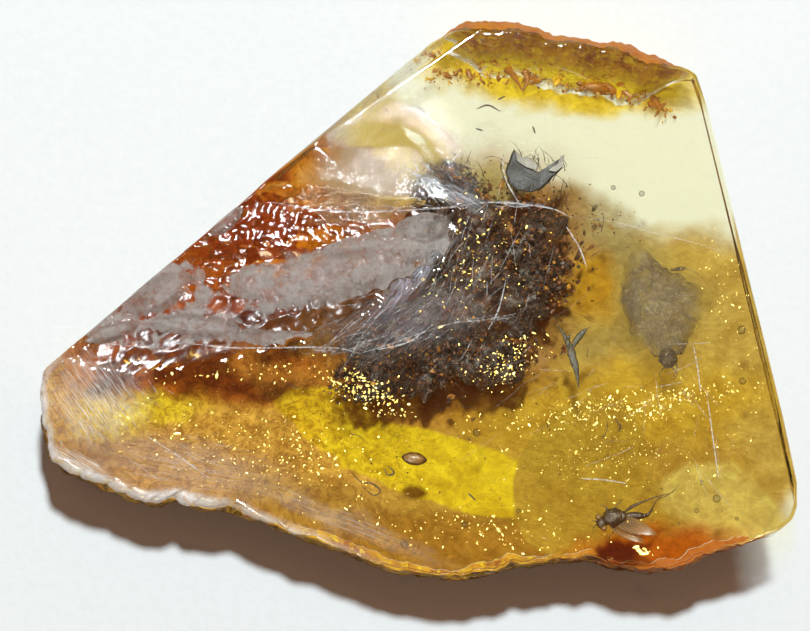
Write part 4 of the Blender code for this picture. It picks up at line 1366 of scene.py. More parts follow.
class AMBER_OT_scratches(Operator):
    """Build the ridge lines, scuffs and scratches on the top"""

    bl_idname = "amber.scratches"
    bl_label = "Scratches"

    def execute(self, context):
        random = np.random.default_rng(101)
        heap = Heap()
        ribbons(heap, RIDGE_LINES, RIDGE_WIDTHS, RIDGE_SHADES)
        marked = len(MARKED_SCRATCHES)
        ribbons(heap, MARKED_SCRATCHES, [MARKED_WIDTH] * marked, [MARKED_SHADE] * marked)
        lines = []
        for centre, radii, turn, count in SCRATCH_FIELDS:
            middle = np.array(centre) + random.normal(0.0, 0.5, (count, 2)) * radii
            angle = np.radians(turn + random.normal(0.0, 16.0, count))
            lines += strokes(random, middle, angle, random.uniform(0.2, 1.0, count))
        for centre, spread, count in SCUFFS:
            middle = np.array(centre) + random.normal(0.0, 1.0, (count, 2)) * (spread * 0.45, 0.09)
            angle = random.uniform(-0.6, 0.6, count)
            lines += strokes(random, middle, angle, random.uniform(0.05, 0.22, count))
        fine = random.uniform(0.010, 0.028, len(lines))
        ribbons(heap, lines, fine, random.uniform(0.12, 0.75, len(lines)))
        finish_piece(heap.put("scratches"), scratch_material())
        return {"FINISHED"}


def strokes(random, middles, angles, reaches):
    """Short bent strokes as three plan points each."""
    step = np.column_stack([np.cos(angles), np.sin(angles)]) * reaches[:, None]
    bend = np.column_stack([-step[:, 1], step[:, 0]]) * random.uniform(-0.06, 0.06, (len(step), 1))
    return list(np.stack([middles - step, middles + bend, middles + step], axis=1))


def scattered(random, count, middle, radii, turn=0.0):
    """Plan points scattered round a middle, thinning out over two half widths."""
    spread = random.normal(0.0, 0.55, (count, 2)) * radii
    x, y = turned(spread[:, 0], spread[:, 1], -math.radians(turn))
    return np.column_stack([x + middle[0], y + middle[1]])


# Clouds of crumbs: plan middle, half widths, turn in degrees and count
DEBRIS_CENTRE = (1.6, 0.3)
DEBRIS_SHADES = (0.05, 0.35, 0.65, 0.95)
DEBRIS_SHARES = (0.36, 0.3, 0.22, 0.12)
PAD_SHARE = 0.8
CRUMB_SIZE = 0.052
CRUMB_HEIGHTS = (1.5, 3.35)
DEBRIS_CLOUDS = [
    ((3.4, 2.2), (2.5, 1.6), 0, 1700), ((1.6, 4.5), (1.3, 0.7), -20, 600),
    ((-0.5, -2.3), (2.1, 1.2), -10, 1300), ((2.4, -1.7), (2.3, 1.3), 10, 1200),
    ((5.2, 0.8), (1.0, 1.3), 0, 500), ((-2.6, -3.2), (0.8, 0.7), 0, 350),
]
HAIR_COUNT = 230
HAIR_STEPS = 6


class AMBER_OT_debris(Operator):
    """Build the dark mass of plant crumbs and fibres"""

    bl_idname = "amber.debris"
    bl_label = "Plant Debris"

    def execute(self, context):
        random = np.random.default_rng(7)
        heap = Heap()
        outline = DEBRIS_CENTRE + PAD_SHARE * (np.array(DEBRIS_OUTLINE) - DEBRIS_CENTRE)
        points, quads, tris = pad(outline, DEBRIS_CENTRE, 1.5, 2.9, 48, 300, 0.35, 0.45, 3)
        shade = 0.1 + 0.25 * plan_noise(points[:, 0], points[:, 1], 1.1, 3, 9)
        heap.add(points, quads, tris, shade=shade)
        for middle, radii, turn, count in DEBRIS_CLOUDS:
            plan = scattered(random, count, middle, radii, turn)
            places = np.column_stack([plan, random.uniform(*CRUMB_HEIGHTS, count)])
            sizes = random.lognormal(math.log(CRUMB_SIZE), 0.45, count)
            shade = random.choice(DEBRIS_SHADES, count, p=DEBRIS_SHARES)
            points, faces = crumbs(random, places, sizes, (1.3, 0.9, 0.6), 0.4)
            heap.add(points, tris=faces, shade=np.repeat(shade, CHIP_SIZE))
        for number in range(HAIR_COUNT):
            if number % 9 < 4:
                plan = random.uniform((0.2, 3.6), (6.2, 5.4))
                lean = random.normal(math.radians(95), 0.35)
            else:
                plan = scattered(random, 1, (1.5, -1.0), (4.5, 3.4), 35)[0]
                lean = random.uniform(0, math.pi)
            angles = lean + random.normal(0.0, 0.9) * np.linspace(0.0, 1.0, HAIR_STEPS)
            rise = random.normal(0, 0.15, HAIR_STEPS)
            steps = np.column_stack([np.cos(angles), np.sin(angles), rise])
            reach = random.uniform(0.3, 1.1)
            start = np.array([*plan, random.uniform(1.8, 3.4)])
            path = start + np.cumsum(steps * reach / HAIR_STEPS, axis=0)
            path[:, 2] = np.clip(path[:, 2], 1.3, 3.6)
            heap.add(*tube(path, np.linspace(0.022, 0.007, HAIR_STEPS), 5), shade=0.05)
        material = mottled_material(
            "debris", (0.03, 0.011, 0.004), (0.26, 0.075, 0.012), 0.6, 2.6, (0.85, 0.38, 0.03), thin=True
        )
        finish_piece(heap.put("debris_mass", smooth=False), material, ("debris_clump",))
        return {"FINISHED"}


SCRAP_BODY = [
    (3.52, 5.0), (3.6, 4.5), (3.9, 4.25), (4.5, 4.15), (5.0, 4.35), (5.35, 4.75), (5.7, 5.1), (5.8, 5.6),
    (5.55, 5.35), (5.2, 5.0), (4.8, 4.95), (4.5, 5.1), (4.15, 5.3), (3.95, 5.55), (3.8, 5.95), (3.66, 5.5),
]
SCRAP_FLAPS = [
    [
        (3.85, 5.85), (3.95, 5.4), (4.3, 5.15), (4.75, 5.0), (4.8, 5.2), (4.55, 5.4), (4.35, 5.6),
        (4.1, 5.5),
    ],
    [(5.2, 5.0), (5.5, 4.95), (5.8, 5.2), (5.85, 5.65), (5.7, 5.6), (5.6, 5.3), (5.35, 5.15)],
]


def leaf_material():
    """Black veined leaf with grey flaps where its shade is high."""
    material, graph = new_material("leaf")
    place = slab_place(graph)
    veins = streaks(graph, place, 70, 0.9, 0.08)
    noise = graph.noise(place, 7.0, 4.0, 0.7)
    black = graph.mix(graph.ramp(veins, 0.45, 0.7), (0.005, 0.004, 0.003), (0.03, 0.024, 0.015))
    grey = graph.mix(noise, (0.16, 0.14, 0.10), (0.56, 0.52, 0.44))
    colour = graph.mix(graph.attribute("shade"), black, grey)
    values = {"Base Color": colour, "Roughness": 0.45, "Normal": graph.bump(noise, FINE_RELIEF)}
    return surfaced(material, graph, values)


class AMBER_OT_scrap(Operator):
    """Build the black leaf scrap and its pale flaps"""

    bl_idname = "amber.scrap"
    bl_label = "Leaf Scrap"

    def execute(self, context):
        heap = Heap()
        heap.add(*pad(SCRAP_BODY, (4.45, 4.72), 3.66, 3.72, 14, 160, 0.12, 0.10, 21), shade=0.0)
        for seed, outline in enumerate(SCRAP_FLAPS):
            middle = np.mean(outline, axis=0)
            points, quads, tris = pad(outline, middle, 3.78, 3.82, 8, 70, 0.05, 0.08, 31 + seed)
            points[:, 2] += 0.16 * np.hypot(*(points[:, :2] - middle).T)
            heap.add(points, quads, tris, shade=1.0)
        finish_piece(heap.put("black_leaf_scrap"), leaf_material(), ("leaf_scrap",))
        return {"FINISHED"}


FLECK_PATHS = [
    [(6.4, -3.65), (6.3, -2.9), (6.15, -2.4), (6.05, -2.0), (5.75, -1.4), (5.5, -1.05)],
    [(6.1, -2.2), (6.3, -1.75), (6.6, -1.4), (6.85, -1.2)],
    [(6.05, -2.1), (5.95, -1.7), (6.15, -1.45)],
]


class AMBER_OT_fleck(Operator):
    """Build the forked fleck"""

    bl_idname = "amber.fleck"
    bl_label = "Forked Fleck"

    def execute(self, context):
        heap = Heap()
        for widest, points in zip((0.16, 0.12, 0.08), FLECK_PATHS):
            plan = smooth_path(points, 40)
            along = np.linspace(0.0, 1.0, 40)
            radii = widest * (0.12 + 0.88 * np.sin(np.clip(along * 1.15, 0, 0.99) * math.pi) ** 1.2)
            radii = radii * (1.0 + 0.35 * plan_noise(plan[:, 0], plan[:, 1], 0.22, 2, 93))
            path = np.column_stack([plan, 3.6 + 0.05 * np.sin(along * 7.0)])
            heap.add(*tube(path, radii, 12, 0.3), shade=0.2)
        material = mottled_material("fleck", (0.03, 0.022, 0.008), (0.24, 0.17, 0.05), 0.55, 6.0, faded=0.6)
        finish_piece(heap.put("dark_forked_fleck"), material, ("forked_fleck",))
        return {"FINISHED"}


SEED_RADII = (0.52, 0.26, 0.2)
SEED_TURN = math.radians(-8)


class AMBER_OT_seed(Operator):
    """Build the brown lens-shaped seed"""

    bl_idname = "amber.seed"
    bl_label = "Seed"

    def execute(self, context):
        heap = Heap()
        points, quads, tris = lobe((0.0, 0.0, 0.0), SEED_RADII, 0.0, 40, 64)
        pinch = 1.0 - 0.35 * np.abs(points[:, 0] / SEED_RADII[0]) ** 3
        seam = np.exp(-((points[:, 2] / 0.02) ** 2))
        rim = smoothstep(0.55, 0.95, np.hypot(points[:, 0] / SEED_RADII[0], points[:, 1] / SEED_RADII[1]))
        x, y = turned(points[:, 0], points[:, 1] * pinch, -SEED_TURN)
        points = np.column_stack([x, y, points[:, 2] * pinch]) + np.array(SEED_PLACE)
        heap.add(points, quads, tris, shade=0.75 - 0.6 * rim - 0.1 * seam)
        material = mottled_material("seed", (0.05, 0.016, 0.004), (0.36, 0.17, 0.04), 0.35, 5.0)
        finish_piece(heap.put("lens_seed"), material, ("seed",))
        return {"FINISHED"}


FLY_PLACE = np.array([8.1, -8.75, 2.75])
FLY_LOBES = [
    ((-0.28, 0.02, 0.0), (0.46, 0.37, 0.32), 0.0, 0.05, 0.15),
    ((0.06, 0.05, 0.08), (0.18, 0.22, 0.16), 0.0, 0.0, 0.1),
    ((-0.78, -0.2, -0.04), (0.22, 0.25, 0.2), 0.5, 0.05, 0.2),
    ((-0.55, -0.1, -0.02), (0.14, 0.12, 0.12), 0.0, 0.0, 0.1),
    ((0.32, -0.19, -0.08), (0.3, 0.17, 0.14), -0.3, 0.05, 0.15),
]
FLY_EYES = [((-0.68, -0.42, 0.0), (0.13, 0.12, 0.15)), ((-0.92, 0.04, 0.0), (0.13, 0.12, 0.15))]
FLY_LEGS = [
    [(0.1, 0.2, 0.0), (0.45, 0.45, 0.1), (1.35, 0.82, 0.12), (2.0, 1.0, 0.05), (2.3, 1.34, 0.0)],
    [(0.3, 0.05, -0.05), (1.04, 0.12, -0.1), (1.42, 0.7, 0.0), (1.78, 0.86, 0.0), (2.1, 1.1, -0.05)],
    [(-0.3, 0.25, 0.0), (-0.18, 0.48, 0.08), (0.02, 0.74, 0.05)],
    [(-0.5, 0.22, -0.1), (-0.62, 0.42, -0.05), (-0.82, 0.5, -0.1)],
    [(-0.35, -0.2, -0.1), (-0.3, -0.5, -0.2), (-0.5, -0.78, -0.15)],
    [(-0.1, -0.2, -0.15), (0.05, -0.42, -0.3), (-0.2, -0.52, -0.34)],
]
FLY_WINGS = [
    ((-0.25, -0.05, 0.12), (1.4, -0.66, 0.1), 0.3),
    ((-0.45, -0.12, -0.1), (0.9, -0.98, -0.14), 0.28),
]
FLY_BELLY = [(0.1, 0.04, 0.02), (0.5, 0.08, -0.01), (1.1, 0.08, -0.04)]
WING_VEINS = (-0.96, -0.55, -0.18, 0.2, 0.55, 0.96)
WING_CROSSES = (0.3, 0.52, 0.7)
BRISTLE_RADII = (0.006, 0.004, 0.002)
BRISTLE_COUNT = 90


def leg_radii(count, thick):
    """Radii along a leg: a stout upper joint, a slim shin and beaded end joints."""
    along = np.linspace(0.0, 1.0, count)
    upper = 0.55 + 0.6 * np.sin(np.clip(along / 0.45, 0, 1) * math.pi) ** 2
    slim = np.interp(along, (0.0, 0.45, 0.7, 1.0), (1.0, 0.65, 0.42, 0.28))
    beads = 1.0 + 0.25 * np.sin(along * 60.0) * smoothstep(0.68, 0.75, along)
    return thick * upper * slim * beads


def wing_sheet(root, tip, half, along, across):
    """Wing surface: an arched width set off to both sides of the line from root to tip."""
    root, tip = np.array(root), np.array(tip)
    reach = tip[:2] - root[:2]
    side = np.array([-reach[1], reach[0]]) / np.linalg.norm(reach)
    width = half * np.sin(np.clip(along, 0.0, 0.999) ** 0.62 * math.pi) ** 0.7 + 0.012
    plan = root[:2] + along[..., None] * reach + (across * width)[..., None] * side
    rise = root[2] + (tip[2] - root[2]) * along + 0.03 * np.sin(along * 5.0) * across
    return FLY_PLACE + np.concatenate([plan, rise[..., None]], axis=-1)


def wing_material():
    """Thin smoky wings with dark veins."""
    material, graph = new_material("fly_wings")
    shade = graph.attribute("shade")
    noise = graph.noise(slab_place(graph), 6.0, 3.0)
    colour = graph.mix(noise, (0.30, 0.14, 0.03), (0.46, 0.27, 0.10))
    colour = graph.mix(shade, colour, (0.08, 0.035, 0.012))
    alpha = graph.ramp(shade, 0.0, 1.0, 0.6, 0.9)
    return surfaced(material, graph, {"Base Color": colour, "Roughness": 0.3, "Alpha": alpha})


class AMBER_OT_fly(Operator):
    """Build the small fly"""

    bl_idname = "amber.fly"
    bl_label = "Fly"

    def execute(self, context):
        random = np.random.default_rng(17)
        heap = Heap()
        for centre, radii, turn, lump, shade in FLY_LOBES:
            heap.add(*lobe(FLY_PLACE + centre, radii, turn, 22, 32, lump, 33), shade=shade)
        for centre, radii in FLY_EYES:
            heap.add(*lobe(FLY_PLACE + centre, radii, 0.5, 24, 32), shade=0.62)
        along = np.linspace(0.0, 1.0, 60)
        path = FLY_PLACE + smooth_path(FLY_BELLY, 60)
        bands = 1.0 - 0.13 * np.maximum(0.0, np.cos(along * math.tau * 6)) ** 8
        radii = 0.17 * np.sin(np.clip(0.12 + 0.88 * along, 0, 0.99) * math.pi) ** 0.6 * bands
        heap.add(*tube(path, radii, 26, 0.9), shade=0.12)
        for leg in FLY_LEGS:
            path = FLY_PLACE + smooth_path(leg, 44)
            heap.add(*tube(path, leg_radii(44, 0.07), 9), shade=0.1)
            for place in path[6::4]:
                lean = random.uniform(0, math.tau)
                rise = random.uniform(-0.4, 0.6)
                tip = place + 0.07 * np.array([math.cos(lean), math.sin(lean), rise])
                heap.add(*tube(np.linspace(place, tip, 3), BRISTLE_RADII, 4), shade=0.05)
        for side in (-1.0, 1.0):
            root = np.array([-0.96, -0.2 + 0.06 * side, 0.05])
            middle = root + (-0.12, -0.05 + 0.05 * side, 0.06)
            tip = root + (-0.2, -0.1 + 0.14 * side, 0.02)
            path = FLY_PLACE + smooth_path([root, middle, tip], 16)
            heap.add(*tube(path, np.linspace(0.03, 0.008, 16), 7), shade=0.2)
        for _ in range(BRISTLE_COUNT):
            turn = random.uniform(0, math.tau)
            rise = random.uniform(0.1, 1.0)
            flat = math.sqrt(1 - rise**2)
            outward = np.array([math.cos(turn) * flat, math.sin(turn) * flat, rise])
            place = FLY_PLACE + (-0.28, 0.02, 0.0) + outward * (0.45, 0.36, 0.31)
            tip = place + (outward + (0.6, 0.1, 0.0)) * random.uniform(0.05, 0.11)
            heap.add(*tube(np.linspace(place, tip, 3), BRISTLE_RADII, 4), shade=0.05)
        material = mottled_material(
            "fly", (0.055, 0.028, 0.009), (0.36, 0.18, 0.045), 0.4, 7.0, (0.9, 0.5, 0.08)
        )
        finish_piece(heap.put("small_fly"), material, ("fly",))

        wings = Heap()
        for wing in FLY_WINGS:
            grid = np.linspace(0.0, 1.0, 41), np.linspace(-1.0, 1.0, 13)
            along, across = np.meshgrid(*grid, indexing="ij")
            index = np.arange(along.size).reshape(along.shape)
            quads = np.stack([index[:-1, :-1], index[1:, :-1], index[1:, 1:], index[:-1, 1:]], axis=-1)
            wings.add(wing_sheet(*wing, along, across), quads.reshape(-1, 4), shade=0.0)
            for vein in WING_VEINS:
                line = np.linspace(0.02, 0.97 - 0.1 * abs(vein), 24)
                spread = np.clip(vein * smoothstep(0.0, 0.35, line) + 0.1 * np.sin(line * 3), -0.98, 0.98)
                radii = np.linspace(0.014, 0.006, 24)
                wings.add(*tube(wing_sheet(*wing, line, spread), radii, 5), shade=1.0)
            for cross in WING_CROSSES:
                spread = np.linspace(-0.5, 0.5, 8)
                wings.add(*tube(wing_sheet(*wing, cross + 0.05 * spread, spread), 0.006, 4), shade=1.0)
        finish_piece(wings.put("fly_wings"), wing_material())
        return {"FINISHED"}


BROAD_MIDDLE = (9.75, 0.0)
BROAD_HEAD = np.array([9.98, -2.35, 2.68])
BROAD_LEGS = [
    [(10.1, 1.1, 2.8), (10.7, 1.15, 2.95), (11.3, 0.85, 2.95), (11.65, 0.4, 2.8)],
    [(10.6, -0.6, 2.5), (11.2, -1.0, 2.45), (11.45, -1.6, 2.5)],
    [(10.0, -2.3, 2.6), (10.35, -2.7, 2.7), (10.2, -3.1, 2.62)],
]


def broad_material():
    """Wrinkled grey-brown cuticle, thinner and clearer at its right edge."""
    material, graph = new_material("broad_insect")
    place = slab_place(graph)
    shade = graph.attribute("shade")
    wrinkles = graph.noise(place, 2.4, 6.0, 0.7, 1.2)
    middle = graph.math("ABSOLUTE", graph.math("SUBTRACT", wrinkles, 0.5))
    veins = graph.ramp(middle, 0.0, 0.06, 0.7, 0.0)
    colour = graph.mix(graph.ramp(shade, 0.1, 0.7), (0.10, 0.05, 0.018), (0.26, 0.17, 0.06))
    colour = graph.mix(veins, colour, (0.10, 0.06, 0.02))
    colour = graph.mix(graph.ramp(wrinkles, 0.54, 0.68), colour, (0.46, 0.38, 0.2))
    ragged = swayed_place(graph, place, 1.6, 1.0)
    body = patch_mask(graph, ragged, (9.75, 0.0), (1.6, 1.9), 0, 0.28)
    head = patch_mask(graph, ragged, (10.0, -2.2), (0.8, 1.0), 0, 0.3)
    edge = graph.math("ADD", split_place(graph, place, "X"), graph.times(wrinkles, 1.4))
    thin = graph.ramp(edge, 10.8, 12.2, 0.92, 0.3)
    worn = graph.ramp(graph.noise(place, 1.7, 5.0, 0.75, 0.8), 0.40, 0.56, 0.3, 0.95)
    alpha = graph.times(graph.times(thin, worn), graph.math("MAXIMUM", body, head))
    alpha = lamp_faded(graph, alpha, 0.8)
    normal = graph.bump(wrinkles, 0.0001, 0.8)
    values = {"Base Color": colour, "Roughness": 0.5, "Alpha": alpha, "Normal": normal}
    return surfaced(material, graph, values)


class AMBER_OT_broad(Operator):
    """Build the broad insect"""

    bl_idname = "amber.broad"
    bl_label = "Broad Insect"

    def execute(self, context):
        heap = Heap()
        points, quads, tris = pad(BROAD_OUTLINE, BROAD_MIDDLE, 2.25, 3.15, 44, 240, 0.22, 0.16, 51)
        x, y = points[:, 0], points[:, 1]
        folds = 0.10 * np.abs(plan_noise(x, y, 0.45, 3, 55)) - 0.05
        points[:, 2] += np.where(points[:, 2] > 2.7, folds, 0.0)
        shade = 0.5 + 0.45 * plan_noise(x, y, 0.6, 3, 57) - 0.35 * smoothstep(9.0, 8.2, x)
        heap.add(points, quads, tris, shade=shade - 0.25 * smoothstep(-1.4, -2.3, y))
        heap.add(*lobe(BROAD_HEAD, (0.36, 0.42, 0.26), 0.2, 22, 30, 0.06, 61), shade=0.15)
        for side in (-1.0, 1.0):
            heap.add(*lobe(BROAD_HEAD + (0.3 * side, -0.07, 0.06), (0.1, 0.13, 0.12)), shade=0.0)
            feeler = [(0.12 * side, -0.35, 0.07), (0.35 * side, -0.65, 0.12), (0.2 * side, -0.9, 0.02)]
            path = BROAD_HEAD + smooth_path(feeler, 20)
            heap.add(*tube(path, np.linspace(0.03, 0.012, 20), 7), shade=0.1)
        for leg in BROAD_LEGS:
            heap.add(*tube(smooth_path(leg, 40), leg_radii(40, 0.09), 10), shade=0.1)
        finish_piece(heap.put("broad_bug"), broad_material(), ("broad_insect",))
        return {"FINISHED"}


TOOTH_PATHS = [
    [(3.6, 9.3), (3.9, 8.9), (4.2, 8.35)], [(4.3, 9.2), (4.4, 8.8), (4.2, 8.4)],
    [(6.4, 8.9), (6.8, 8.5), (7.3, 8.6)], [(7.5, 8.7), (7.9, 8.35), (7.6, 8.3)],
    [(8.2, 8.6), (8.5, 8.2), (8.9, 8.25)], [(9.4, 8.2), (9.7, 7.7), (9.5, 7.3)],
    [(9.3, 7.9), (9.7, 7.75), (10.0, 7.9)], [(2.0, 9.2), (2.1, 8.9), (1.9, 8.8)],
]
CRUST_EDGE = [(0.4, 8.9), (1.9, 9.1), (3.6, 8.9), (5.6, 8.8), (7.2, 8.5), (8.6, 8.2), (10.1, 7.5)]
CRUST_SPREAD = 0.2
EDGE_CRUMBS = 260
LOOSE_FLECKS = [
    [(0.0, 7.7), (0.3, 7.4)], [(-1.3, 7.7), (-1.2, 7.4)],
    [(2.3, 6.8), (2.6, 6.7)], [(3.2, 8.0), (3.5, 8.15)], [(2.35, 7.6), (2.8, 7.75), (3.3, 7.5)],
    [(-1.2, -6.6), (-0.95, -6.85), (-1.2, -6.95), (-1.35, -6.7)],
    [(-2.6, -6.9), (-2.3, -7.2), (-1.8, -7.3), (-1.5, -7.6), (-1.8, -7.75), (-2.2, -7.4)],
    [(2.0, -7.7), (2.3, -8.0)], [(4.6, 6.9), (4.7, 6.6)], [(7.9, -4.7), (8.1, -5.0), (8.0, -5.2)],
]
BUBBLES = [
    (2.34, -5.36, 0.16), (12.9, -1.28, 0.17), (12.94, -3.3, 0.14), (7.8, 4.36, 0.1), (8.94, 4.12, 0.12),
    (11.9, -8.0, 0.16), (11.1, -8.48, 0.1), (1.86, -9.04, 0.14), (-0.54, -9.84, 0.15), (4.0, -8.5, 0.1),
    (10.4, -9.0, 0.07), (12.7, -8.8, 0.08), (11.3, -7.3, 0.07), (9.7, -7.6, 0.06), (4.9, 3.3, 0.07),
]

# Heights in millimetres of what floats in the amber
EDGE_HEIGHTS = (0.15, 0.8)
TOOTH_HEIGHTS = (0.5, 1.2)
FLECK_HEIGHTS = (1.2, 2.4)
SPECK_HEIGHTS = (0.6, 3.6)
BUBBLE_HEIGHT = 3.0
SPANGLE_HEIGHTS = (2.9, 3.9)

# Fields of specks: count, plan middle, half widths and turn in degrees
SPECK_FIELDS = [(600, (2.0, -5.0), (11.0, 4.0), -8), (300, (6.0, 3.4), (2.6, 1.0), -20)]
SPECK_MARGIN = 1.3


def bubble_material():
    """Gas bubbles: clear in the middle, with a painted dark rim in place of their refraction."""
    material, graph = new_material("gas_bubbles")
    noise = graph.noise(slab_place(graph), 5.0)
    # Painted shade: darker and more opaque where the surface turns away from the view
    edge = graph.add("ShaderNodeLayerWeight", {"Blend": 0.4}).outputs["Facing"]
    alpha = graph.ramp(edge, 0.15, 0.75, 0.2, 0.9)
    colour = graph.mix(noise, (0.05, 0.035, 0.012), (0.14, 0.09, 0.03))
    return surfaced(material, graph, {"Base Color": colour, "Roughness": 0.12, "Alpha": alpha})


class AMBER_OT_specks(Operator):
    """Build the crust's teeth, the loose flecks, the bubbles and the fine specks"""

    bl_idname = "amber.specks"
    bl_label = "Flecks, Bubbles and Specks"

    def execute(self, context):
        random = np.random.default_rng(29)
        flecks = Heap()
        count = EDGE_CRUMBS
        edge = smooth_path(CRUST_EDGE, count) + random.normal(0.0, CRUST_SPREAD, (count, 2))
        places = np.column_stack([edge, random.uniform(*EDGE_HEIGHTS, count)])
        sizes = random.lognormal(math.log(0.06), 0.5, count)
        points, faces = crumbs(random, places, sizes, (1.9, 0.7, 0.6))
        flecks.add(points, tris=faces, shade=np.repeat(random.uniform(0.5, 1.2, count), CHIP_SIZE))
        for number, points in enumerate(TOOTH_PATHS):
            plan = smooth_path(points, 20)
            height = np.linspace(TOOTH_HEIGHTS[0], random.uniform(*TOOTH_HEIGHTS), 20)
            rough = 1.0 + 0.4 * plan_noise(plan[:, 0], plan[:, 1], 0.2, 2, number)
            radii = np.linspace(0.17, 0.02, 20) * rough
            flecks.add(*tube(np.column_stack([plan, height]), radii, 9, 0.6), shade=0.6)
        for points in LOOSE_FLECKS:
            height = np.full(24, random.uniform(*FLECK_HEIGHTS))
            path = np.column_stack([smooth_path(points, 24), height])
            radii = 0.035 * np.sin(np.linspace(0.06, 0.94, 24) * math.pi) ** 0.6
            flecks.add(*tube(path, radii, 8, 0.7), shade=0.15)
        plan = np.concatenate([scattered(random, *field) for field in SPECK_FIELDS])
        rim = OUTLINE_PLACES[::40]
        kept = inside(rim, plan[:, 0], plan[:, 1])
        kept &= outline_gap(rim, plan[:, 0], plan[:, 1]) > SPECK_MARGIN
        places = np.column_stack([plan[kept], random.uniform(*SPECK_HEIGHTS, kept.sum())])
        sizes = random.lognormal(math.log(0.02), 0.5, len(places))
        points, faces = crumbs(random, places, sizes, (1.2, 0.9, 0.8))
        flecks.add(points, tris=faces, shade=np.repeat(random.uniform(0.0, 0.8, len(places)), CHIP_SIZE))
        material = mottled_material(
            "loose_flecks", (0.03, 0.015, 0.006), (0.46, 0.17, 0.015), 0.4, 4.0, (0.85, 0.5, 0.02),
            faded=0.85,
        )
        finish_piece(flecks.put("loose_flecks"), material)

        bubbles = Heap()
        for x, y, radius in BUBBLES:
            bubbles.add(*lobe((x, y, BUBBLE_HEIGHT), (radius, radius, radius), 0.0, 16, 24), shade=0.5)
        finish_piece(bubbles.put("gas_bubbles"), bubble_material())
        return {"FINISHED"}


# Fields of spangles: plan middle, half widths, turn in degrees, count and size
SPANGLE_FIELDS = [
    ((8.2, -4.4), (4.4, 0.6), 8, 420, 0.022), ((3.6, -2.6), (1.4, 0.7), 30, 150, 0.022),
    ((-2.2, -3.7), (1.7, 0.7), -20, 190, 0.028), ((8.0, -6.2), (4.5, 1.6), 4, 280, 0.015),
    ((-6.0, -6.2), (5.0, 1.6), -12, 380, 0.02), ((2.5, -9.2), (4.5, 0.8), -4, 160, 0.02),
    ((2.2, 1.4), (2.2, 2.8), 0, 160, 0.024), ((12.6, -1.0), (1.0, 3.4), 12, 90, 0.018),
    ((-8.0, -2.8), (5.0, 0.5), -3, 80, 0.025), ((9.0, -10.1), (0.4, 0.12), 0, 14, 0.05),
]


def spangle_material():
    """Golden mirror-like spangles, paler where their shade is high."""
    material, graph = new_material("golden_spangles")
    colour = graph.mix(graph.attribute("shade"), (0.75, 0.38, 0.03), (1.0, 0.85, 0.3))
    rough = graph.ramp(graph.noise(slab_place(graph), 3.0), 0.3, 0.7, 0.3, 0.5)
    return surfaced(material, graph, {"Base Color": colour, "Roughness": rough, "Metallic": 0.85})


class AMBER_OT_spangles(Operator):
    """Build the golden spangles"""

    bl_idname = "amber.spangles"
    bl_label = "Golden Spangles"

    def execute(self, context):
        random = np.random.default_rng(31)
        heap = Heap()
        for middle, radii, turn, count, size in SPANGLE_FIELDS:
            plan = scattered(random, count, middle, radii, turn)
            plan = plan[inside(OUTLINE_PLACES[::40], plan[:, 0], plan[:, 1])]
            places = np.column_stack([plan, random.uniform(*SPANGLE_HEIGHTS, len(plan))])
            sizes = size * random.lognormal(0.0, 0.45, len(plan))
            points, faces = crumbs(random, places, sizes, (1.5, 0.8, 0.16), 0.3, math.radians(16))
            shade = np.repeat(random.uniform(0.3, 1.0, len(plan)), CHIP_SIZE)
            heap.add(points, tris=faces, shade=shade)
        finish_piece(heap.put("golden_spangles", smooth=False), spangle_material())
        return {"FINISHED"}


PHOTO_WIDTH = 810
PHOTO_HEIGHT = 631
MM_PER_PIXEL = 0.04
SLAB_CENTRE_PIXEL = (416.5, 299.0)
SENSOR_WIDTH = 36.0
FLOOR_HALF = 0.6
FLOOR_DROP = 0.00003
TARGET_HEIGHT = 0.003

# Lamps: name, place and width in metres. The second and third only gloss.
LAMPS = [
    ("key", (0.0, 0.094, 0.259), 0.022),
    ("gloss", (0.0, 0.118, 0.25), 0.03),
    ("rim", (-0.12, -0.17, 0.19), 0.09),
]


def aim(item, target):
    """Turn a lamp or camera toward a point, its top edge kept upward."""
    direction = Vector(target) - item.location
    item.rotation_euler = direction.to_track_quat("-Z", "Y").to_euler()


def add_lamp(name, place, size, power):
    """Round area lamp aimed at the slab."""
    light = bpy.data.lights.new(name, "AREA")
    light.shape = "DISK"
    light.size = size
    light.energy = power
    lamp = bpy.data.objects.new(name, light)
    bpy.context.scene.collection.objects.link(lamp)
    lamp.location = place
    aim(lamp, (0.0, 0.0, 0.0))
    return lamp


def paper_material():
    """Plain pale paper with a faint tooth."""
    material, graph = new_material("paper")
    grain = graph.noise(slab_place(graph), 2.5, 5.0, 0.7)
    colour = graph.mix(graph.ramp(grain, 0.3, 0.7), (0.87, 0.88, 0.875), (0.90, 0.905, 0.905))
    values = {"Base Color": colour, "Roughness": 0.9, "Normal": graph.bump(grain, 0.0001, 0.25)}
    return surfaced(material, graph, values)


